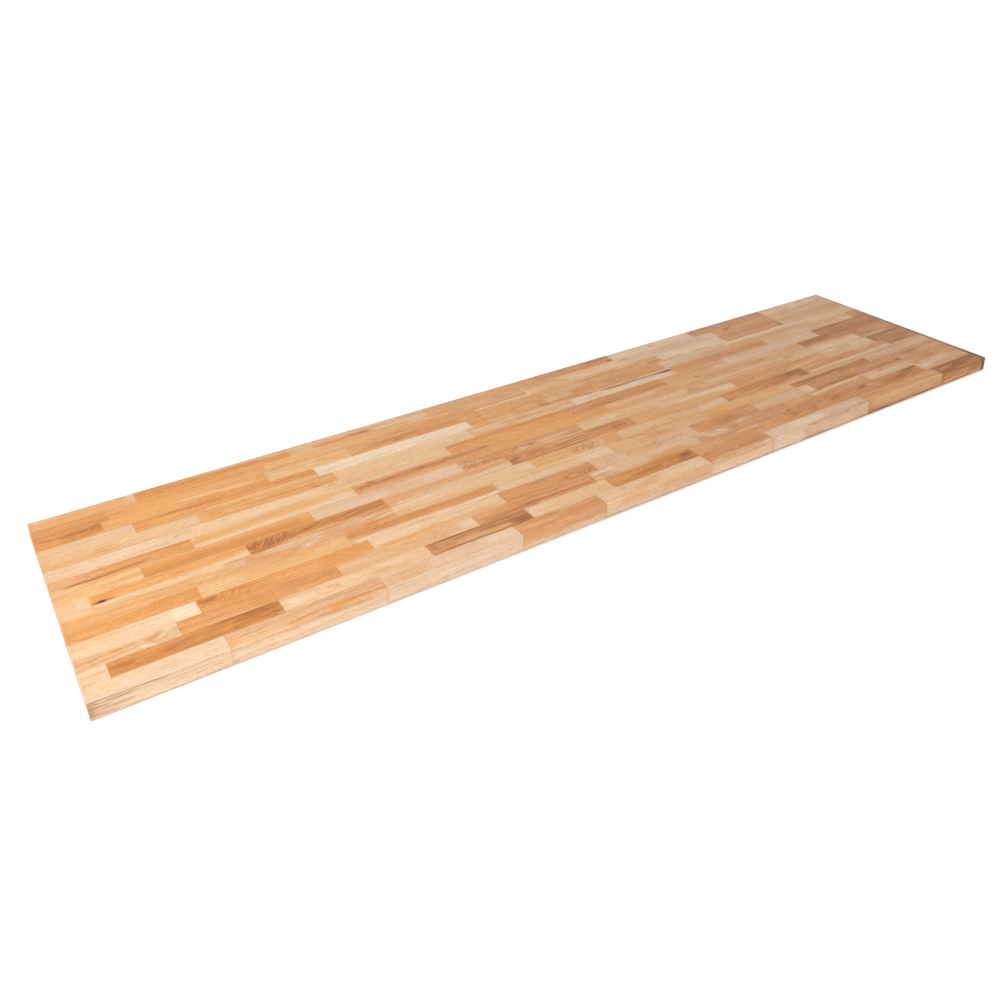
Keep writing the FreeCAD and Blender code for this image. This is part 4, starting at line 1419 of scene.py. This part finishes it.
def growthRings():
    # Late wood, dark, from the distance to the pith: it darkens over a year's ring and ends
    # sharply. The pith leans, so that flat-sawn faces show arches. Bulge bends rings round a knot.
    tree, feed, outlet = newGroup("growthRings", {"Place": "Vector", "Pith": "Vector",
                                  "Run": "Vector", "Bulge": "Float"}, {"Latewood": "Float"})
    place, pith, run = (split(tree, feed[key]) for key in ("Place", "Pith", "Run"))
    legs = []
    for axis in (1, 2):
        middle = maths(tree, "ADD", pith[axis], maths(tree, "MULTIPLY", place[0], run[axis - 1]))
        legs.append(maths(tree, "POWER", maths(tree, "SUBTRACT", place[axis], middle), 2.0))
    distance = maths(tree, "SQRT", maths(tree, "ADD", legs[0], legs[1]))
    shift = put(tree, "CombineXYZ", {0: pith[0]}).outputs[0]
    seeded = vectorMaths(tree, "ADD", feed["Place"], shift)
    wander = noise(tree, seeded, ringPattern["wanderScale"])
    wander = maths(tree, "MULTIPLY", wander, ringPattern["wander"])
    fine = noise(tree, seeded, ringPattern["fineScale"])
    fine = maths(tree, "MULTIPLY", fine, ringPattern["fine"])
    distance = maths(tree, "ADD", maths(tree, "ADD", distance, wander), fine)
    distance = maths(tree, "ADD", distance, feed["Bulge"])
    turn = maths(tree, "DIVIDE", distance, run[2])
    part = maths(tree, "FRACT", turn)
    late = maths(tree, "MULTIPLY", eased(tree, part, *ringPattern["darkening"]),
                 eased(tree, part, *ringPattern["ending"]))
    firstYear = maths(tree, "MULTIPLY", pith[0], ringPattern["yearStep"])
    year = maths(tree, "ADD", maths(tree, "FLOOR", turn), firstYear)
    strength = put(tree, "TexWhiteNoise", {"W": year}, noise_dimensions="1D").outputs[0]
    weakest = ringPattern["weakest"]
    strength = maths(tree, "MULTIPLY_ADD", strength, 1 - weakest, weakest)
    return finishGroup(tree, outlet, {"Latewood": maths(tree, "MULTIPLY", late, strength)})


fibrePattern = {
    "bands": {"scale": (2.2, 55, 55), "detail": 3.0, "roughness": 0.6},
    "flecks": {"scale": (80, 270, 270), "detail": 3.0, "roughness": 0.7},
    "fibres": {"scale": (11, 300, 300), "detail": 3.0, "roughness": 0.7},
    "lines": {"scale": (6, 210, 210)},
    "lineEdges": (0.035, 0.008),       # away from the line's middle
    "bundles": {"scale": (3, 45, 45)},  # where the lines lie in bundles
    "bundleEdges": (0.42, 0.60),
    "pores": {"scale": (70, 1500, 1500), "detail": 1.0},
    "poreEdges": (0.62, 0.72),
    "figure": {"scale": (45, 330, 60)},
    "figureEdges": (0.44, 0.58),
    "figureTurn": -52,                 # degrees from the fibres
}


def woodFibres():
    # Slow bands, short flecks, fine fibres, thin dark lines and open pores, all drawn out along X,
    # and slanting figured grain. A line runs wherever its noise passes through the middle value.
    tree, feed, outlet = newGroup("woodFibres", {"Place": "Vector", "Seed": "Float"}, {
        "Bands": "Float", "Flecks": "Float", "Fibres": "Float", "Lines": "Float",
        "Pores": "Float", "Figure": "Float"})
    shift = put(tree, "CombineXYZ", {0: feed["Seed"], 1: feed["Seed"]}).outputs[0]
    place = vectorMaths(tree, "ADD", feed["Place"], shift)
    bands = noise(tree, place, **fibrePattern["bands"])
    flecks = noise(tree, place, **fibrePattern["flecks"])
    fibres = noise(tree, place, **fibrePattern["fibres"])
    crossing = maths(tree, "SUBTRACT", noise(tree, place, **fibrePattern["lines"]), 0.5)
    lines = eased(tree, maths(tree, "ABSOLUTE", crossing), *fibrePattern["lineEdges"])
    bundled = noise(tree, place, **fibrePattern["bundles"])
    lines = maths(tree, "MULTIPLY", lines, eased(tree, bundled, *fibrePattern["bundleEdges"]))
    pores = noise(tree, place, **fibrePattern["pores"])
    pores = eased(tree, pores, *fibrePattern["poreEdges"])
    spin = {"Vector": place, "Rotation": (0, 0, math.radians(fibrePattern["figureTurn"]))}
    slanted = put(tree, "Mapping", spin).outputs[0]
    figure = noise(tree, slanted, **fibrePattern["figure"])
    figure = eased(tree, figure, *fibrePattern["figureEdges"])
    return finishGroup(tree, outlet, {"Bands": bands, "Flecks": flecks, "Fibres": fibres,
                                      "Lines": lines, "Pores": pores, "Figure": figure})


knotPattern = {
    "noise": {"scale": (60, 260, 260), "detail": 3.0},
    "ragged": 0.7,                     # this and the edges are in the knot's own half lengths
    "coreEdges": (1.05, 0.55),
    "haloEdges": (2.6, 0.7),
    "haloShare": 0.7,                  # how much of the brown round the core shows
    "bulge": 0.012,                    # metres by which the rings bend round it
}


def knotShade():
    # A knot's dark core and the brown round it, from the distance to its middle in its own half
    # lengths, made ragged by noise
    tree, feed, outlet = newGroup("knotShade", {"Place": "Vector", "Middle": "Vector",
                                  "Reach": "Vector"}, {"Core": "Float", "Halo": "Float"})
    reach = split(tree, feed["Reach"])
    apart = split(tree, vectorMaths(tree, "SUBTRACT", feed["Place"], feed["Middle"]))
    legs = []
    for axis in (0, 1):
        share = maths(tree, "DIVIDE", apart[axis], reach[axis])
        legs.append(maths(tree, "MULTIPLY", share, share))
    distance = maths(tree, "SQRT", maths(tree, "ADD", legs[0], legs[1]))
    ragged = noise(tree, feed["Place"], **knotPattern["noise"])
    ragged = maths(tree, "MULTIPLY", ragged, knotPattern["ragged"])
    ragged = maths(tree, "SUBTRACT", ragged, knotPattern["ragged"] / 2)
    distance = maths(tree, "ADD", distance, ragged)
    core = maths(tree, "MULTIPLY", eased(tree, distance, *knotPattern["coreEdges"]), reach[2])
    halo = maths(tree, "MULTIPLY", eased(tree, distance, *knotPattern["haloEdges"]), reach[2])
    return finishGroup(tree, outlet, {"Core": core, "Halo": halo})


finish = {
    # The dark band painted along the slab's ends
    "endBandRight": 0.015,                # metres that the dark band reaches in from the right end
    "endBandFull": 0.2,                   # the share of that reach which is fully dark
    "endBandRagged": 0.012,               # metres that the fibres shift its edge
    "endBandSlant": -0.028,               # and that it widens by for each metre to the front
    "weakMiddle": -0.185,             # where along Y it is weaker, and how far around
    "weakReach": 0.08,
    "weakShare": 0.5,
    "endBandLeft": 0.009,                 # the same reach at the left end, and how much shows there
    "leftShare": 0.15,
    "endBandTone": (0.45, 0.34, 0.26),
    "knotTone": (0.22, 0.13, 0.08),
    "lightest": (1.11, 1.18, 1.29),    # what the palest fibres multiply a tone by
    "darkest": (0.88, 0.79, 0.66),     # and the darkest ones
    "ringShade": (0.84, 0.74, 0.60),
    "lineShade": (0.78, 0.69, 0.58),
    "figureShade": (0.66, 0.54, 0.44),
    "glueShade": (0.91, 0.87, 0.83),
    "streakBreak": (3.0, -0.5),        # in a streak, the fibres times the first plus the second
    "specular": 0.22,
    "fibreRoughness": 0.10,            # what fibres and pores add to a wood's own roughness
    "poreRoughness": 0.08,
    "relief": {"fibres": 0.25, "pores": -0.5, "rings": 0.12, "knot": -0.5},
    "bumpStrength": 0.35,
    "bumpDepth": 0.0006,
}


def endDarkening():
    # A dark band painted at the ends: lightly at the left one, and deep at the right one, with a
    # ragged strip of the faces next to it that widens to the front, and a place near the front
    # where it is only half as dark
    tree, feed, outlet = newGroup("endDarkening", {"Place": "Vector", "Fibres": "Float"},
                                  {"Share": "Float"})
    place = split(tree, feed["Place"])
    left = eased(tree, place[0], slabLeft + finish["endBandLeft"], slabLeft)
    left = maths(tree, "MULTIPLY", left, finish["leftShare"])
    ragged = maths(tree, "SUBTRACT", feed["Fibres"], 0.5)
    ragged = maths(tree, "MULTIPLY", ragged, finish["endBandRagged"])
    slant = maths(tree, "MULTIPLY", place[1], finish["endBandSlant"])
    x = maths(tree, "ADD", maths(tree, "ADD", place[0], ragged), slant)
    right = eased(tree, x, slabRight - finish["endBandRight"],
                  slabRight - finish["endBandFull"] * finish["endBandRight"])
    aside = maths(tree, "ABSOLUTE", maths(tree, "SUBTRACT", place[1], finish["weakMiddle"]))
    weakened = eased(tree, aside, finish["weakReach"], 0.0)
    weakened = maths(tree, "MULTIPLY", weakened, finish["weakShare"])
    right = maths(tree, "MULTIPLY", right, maths(tree, "SUBTRACT", 1.0, weakened))
    return finishGroup(tree, outlet, {"Share": maths(tree, "MAXIMUM", right, left)})


def sawnWood(rings, fibres, knots, darkEnds):
    # The whole surface of a stave: its painted tones, broken up by fibres and shaded by growth
    # rings, bands, pores, knots, glue lines and dark ends. Strengths come from the material.
    strengths = ("Rings", "Bands", "Flecks", "Fibres", "Lines", "Pores", "Sheen")
    tree, feed, outlet = newGroup("sawnWood", {key: "Float" for key in strengths}, {
        "Color": "Color", "Roughness": "Float", "Height": "Float"})
    place = put(tree, "TexCoord").outputs["Object"]
    pith, run = painted(tree, "pithPlace")["Vector"], painted(tree, "grainRun")["Vector"]
    knot = useGroup(tree, knots, {"Place": place, "Middle": painted(tree, "knotPlace")["Vector"],
                                  "Reach": painted(tree, "knotReach")["Vector"]})
    bulge = maths(tree, "MULTIPLY", knot["Halo"], knotPattern["bulge"])
    late = useGroup(tree, rings, {"Place": place, "Pith": pith, "Run": run, "Bulge": bulge})[0]
    wood = useGroup(tree, fibres, {"Place": place, "Seed": split(tree, pith)[0]})
    masks = split(tree, painted(tree, "paintMasks")["Vector"])

    broken = maths(tree, "MULTIPLY_ADD", wood["Fibres"], *finish["streakBreak"])
    streaks = maths(tree, "MULTIPLY", masks[0], broken, clamp=True)
    color = mixed(tree, streaks, painted(tree, "staveTone")["Color"],
                  painted(tree, "streakTone")["Color"])

    shade = 0.5
    for part in ("Bands", "Flecks", "Fibres"):
        swing = maths(tree, "MULTIPLY", maths(tree, "SUBTRACT", wood[part], 0.5), feed[part])
        shade = maths(tree, "ADD", swing, shade, clamp=True)
    light = mixed(tree, 1.0, color, (*finish["lightest"], 1), "MULTIPLY")
    dark = mixed(tree, 1.0, color, (*finish["darkest"], 1), "MULTIPLY")
    color = mixed(tree, shade, light, dark)

    def darkened(color, share, shadeOver):
        return mixed(tree, share, color, mixed(tree, 1.0, color, (*shadeOver, 1), "MULTIPLY"))

    color = darkened(color, maths(tree, "MULTIPLY", late, feed["Rings"]), finish["ringShade"])
    color = darkened(color, maths(tree, "MULTIPLY", wood["Lines"], feed["Lines"]),
                     finish["lineShade"])
    color = darkened(color, maths(tree, "MULTIPLY", wood["Pores"], feed["Pores"]),
                     finish["ringShade"])
    slanting = maths(tree, "MULTIPLY", masks[1], wood["Figure"], clamp=True)
    color = darkened(color, slanting, finish["figureShade"])
    brown = maths(tree, "MULTIPLY", knot["Halo"], knotPattern["haloShare"])
    color = darkened(color, brown, finish["figureShade"])
    color = mixed(tree, knot["Core"], color, (*linearFrom(finish["knotTone"]), 1))
    color = darkened(color, masks[2], finish["glueShade"])
    # The dark band painted along the slab's ends, deep at the right one and light at the left one
    endBandShare = useGroup(tree, darkEnds, {"Place": place, "Fibres": wood["Fibres"]})["Share"]
    color = mixed(tree, endBandShare, color, (*linearFrom(finish["endBandTone"]), 1))

    rough = maths(tree, "MULTIPLY_ADD", wood["Fibres"], finish["fibreRoughness"], feed["Sheen"])
    porous = maths(tree, "MULTIPLY", wood["Pores"], finish["poreRoughness"])
    rough = maths(tree, "ADD", rough, porous, clamp=True)
    raised = 0.0
    heights = {"fibres": wood["Fibres"], "pores": wood["Pores"], "rings": late, "knot": knot["Core"]}
    for part, height in heights.items():
        step = maths(tree, "MULTIPLY", height, finish["relief"][part])
        raised = maths(tree, "ADD", raised, step)
    return finishGroup(tree, outlet, {"Color": color, "Roughness": rough, "Height": raised})


def makeWood(name, wood, surface):
    # One kind of wood: the shared surface with the kind's own strengths
    material = bpy.data.materials.new(name)
    material.use_nodes = True
    tree = material.node_tree
    shader = tree.nodes["Principled BSDF"]
    result = useGroup(tree, surface, {"Rings": wood["rings"], "Bands": wood["bands"],
                                      "Flecks": wood["flecks"], "Fibres": wood["fibres"],
                                      "Lines": wood["lines"], "Pores": wood["pores"],
                                      "Sheen": wood["roughness"]})
    bump = put(tree, "Bump", {"Height": result["Height"], "Strength": finish["bumpStrength"],
                              "Distance": finish["bumpDepth"]})
    tree.links.new(result["Color"], shader.inputs["Base Color"])
    tree.links.new(result["Roughness"], shader.inputs["Roughness"])
    tree.links.new(bump.outputs[0], shader.inputs["Normal"])
    shader.inputs["Specular IOR Level"].default_value = finish["specular"]
    return material


sawnSurface = sawnWood(growthRings(), woodFibres(), knotShade(), endDarkening())
materials = [makeWood(name, wood, sawnSurface) for name, wood in woods.items()]
print("wood ready: %d kinds" % len(materials))

staveRows = [makeRow(row, materials) for row in rows]
print("rows ready: %d" % len(staveRows))


studio = {
    "floorReach": 40.0,
    "floorTone": (0.9, 0.9, 0.9),
    "floorGlow": 0.8,                  # the share of plain white in the floor that the camera sees
    "glowStrength": 1.13,
    "floorRoughness": 0.9,
    "contactReach": 0.008,             # how far from the slab the floor darkens under its edge
    "contactLeft": 0.15,               # the share of that reach at the left end
    "contactShare": 0.8,
    "contactTone": (0.40, 0.28, 0.19),
    "skyStrength": 0.60,
    "key": {"place": (-2.3, -1.05, 2.25), "aim": (-0.5, 0.0, 0.0), "size": 1.8, "power": 87.0,
            "tone": (0.985, 0.995, 0.92)},
    "front": {"place": (0.9, -2.4, 0.2), "aim": (0.4, 0.0, 0.0), "size": 0.8, "power": 12.9,
              "tone": (0.91, 0.92, 1.0)},
}


def contactShade(tree):
    # The thin dark line where the slab meets the floor: what the slab hides of the floor's own
    # half space, doubled, with a reach that grows from the left end to the middle of the slab
    place = split(tree, put(tree, "TexCoord").outputs["Object"])
    grown = eased(tree, place[0], slabLeft, 0.0)
    reach = maths(tree, "ADD", grown, studio["contactLeft"])
    reach = maths(tree, "MULTIPLY", reach, studio["contactReach"])
    clear = put(tree, "AmbientOcclusion", {"Distance": reach}).outputs["AO"]
    hidden = maths(tree, "MULTIPLY", maths(tree, "SUBTRACT", 1.0, clear), 2.0, clamp=True)
    return maths(tree, "MULTIPLY", hidden, studio["contactShare"])


def makeFloor():
    # A plain white sheet that takes shadows, and that the camera sees as the white background
    reach = studio["floorReach"]
    corners = np.array([[-1, -1, 0], [1, -1, 0], [1, 1, 0], [-1, 1, 0]], float) * reach
    mesh = bpy.data.meshes.new("floor")
    mesh.from_pydata(corners.tolist(), [], [(0, 1, 2, 3)])
    floor = bpy.data.objects.new("floor", mesh)
    bpy.context.scene.collection.objects.link(floor)
    material = bpy.data.materials.new("floorWhite")
    material.use_nodes = True
    tree = material.node_tree
    shader = tree.nodes["Principled BSDF"]
    shader.inputs["Base Color"].default_value = (*studio["floorTone"], 1)
    shader.inputs["Roughness"].default_value = studio["floorRoughness"]
    shader.inputs["Specular IOR Level"].default_value = 0.0
    seen = put(tree, "LightPath").outputs["Is Camera Ray"]
    share = maths(tree, "MULTIPLY", seen, studio["floorGlow"])
    white = mixed(tree, contactShade(tree), (1, 1, 1, 1), (*studio["contactTone"], 1))
    glow = put(tree, "Emission", {"Color": white, "Strength": studio["glowStrength"]})
    both = put(tree, "MixShader", {0: share, 1: shader.outputs[0], 2: glow.outputs[0]})
    tree.links.new(both.outputs[0], tree.nodes["Material Output"].inputs["Surface"])
    mesh.materials.append(material)


def makeSky():
    # White where it is seen, straight or in a reflection, and a soft even light elsewhere
    world = bpy.data.worlds.new("studioSky")
    world.use_nodes = True
    bpy.context.scene.world = world
    tree = world.node_tree
    tree.nodes.clear()
    rays = put(tree, "LightPath").outputs
    mirrored = maths(tree, "MAXIMUM", rays["Is Glossy Ray"], rays["Is Transmission Ray"])
    seen = maths(tree, "MAXIMUM", rays["Is Camera Ray"], mirrored)
    light = put(tree, "Background", {"Color": (1, 1, 1, 1), "Strength": studio["skyStrength"]})
    white = put(tree, "Background", {"Color": (1, 1, 1, 1), "Strength": 1.0})
    both = put(tree, "MixShader", {0: seen, 1: light.outputs[0], 2: white.outputs[0]})
    put(tree, "OutputWorld", {"Surface": both.outputs[0]})


def makeSoftbox(name):
    # A square lamp, turned to face what it is aimed at
    box = studio[name]
    lamp = bpy.data.lights.new(name + "Softbox", "AREA")
    lamp.shape = "SQUARE"
    lamp.size = box["size"]
    lamp.energy = box["power"]
    lamp.color = box["tone"]
    softbox = bpy.data.objects.new(name + "Softbox", lamp)
    softbox.location = box["place"]
    aim = Vector(box["aim"]) - softbox.location
    softbox.rotation_euler = aim.to_track_quat("-Z", "Y").to_euler()
    bpy.context.scene.collection.objects.link(softbox)


camera = {
    "place": (-1.3190, -1.7618, 1.2295),
    "turn": (67.172, 0.587, -32.908),  # degrees round X, Y and Z
    "lens": 35.155,                    # this and the sensor's width are in millimetres
    "sensor": 36,
    "shift": (-0.0145, -0.1682),
    "seesTo": 200,                     # metres
}


def makeCamera():
    lens = bpy.data.cameras.new("camera")
    lens.lens = camera["lens"]
    lens.sensor_width = camera["sensor"]
    lens.sensor_fit = "HORIZONTAL"
    lens.shift_x, lens.shift_y = camera["shift"]
    lens.clip_end = camera["seesTo"]
    eye = bpy.data.objects.new("camera", lens)
    eye.location = camera["place"]
    eye.rotation_euler = [math.radians(angle) for angle in camera["turn"]]
    bpy.context.scene.collection.objects.link(eye)
    bpy.context.scene.camera = eye


makeFloor()
makeSky()
makeSoftbox("key")
makeSoftbox("front")
makeCamera()
bpy.context.scene.view_settings.view_transform = "Standard"
print("studio ready")
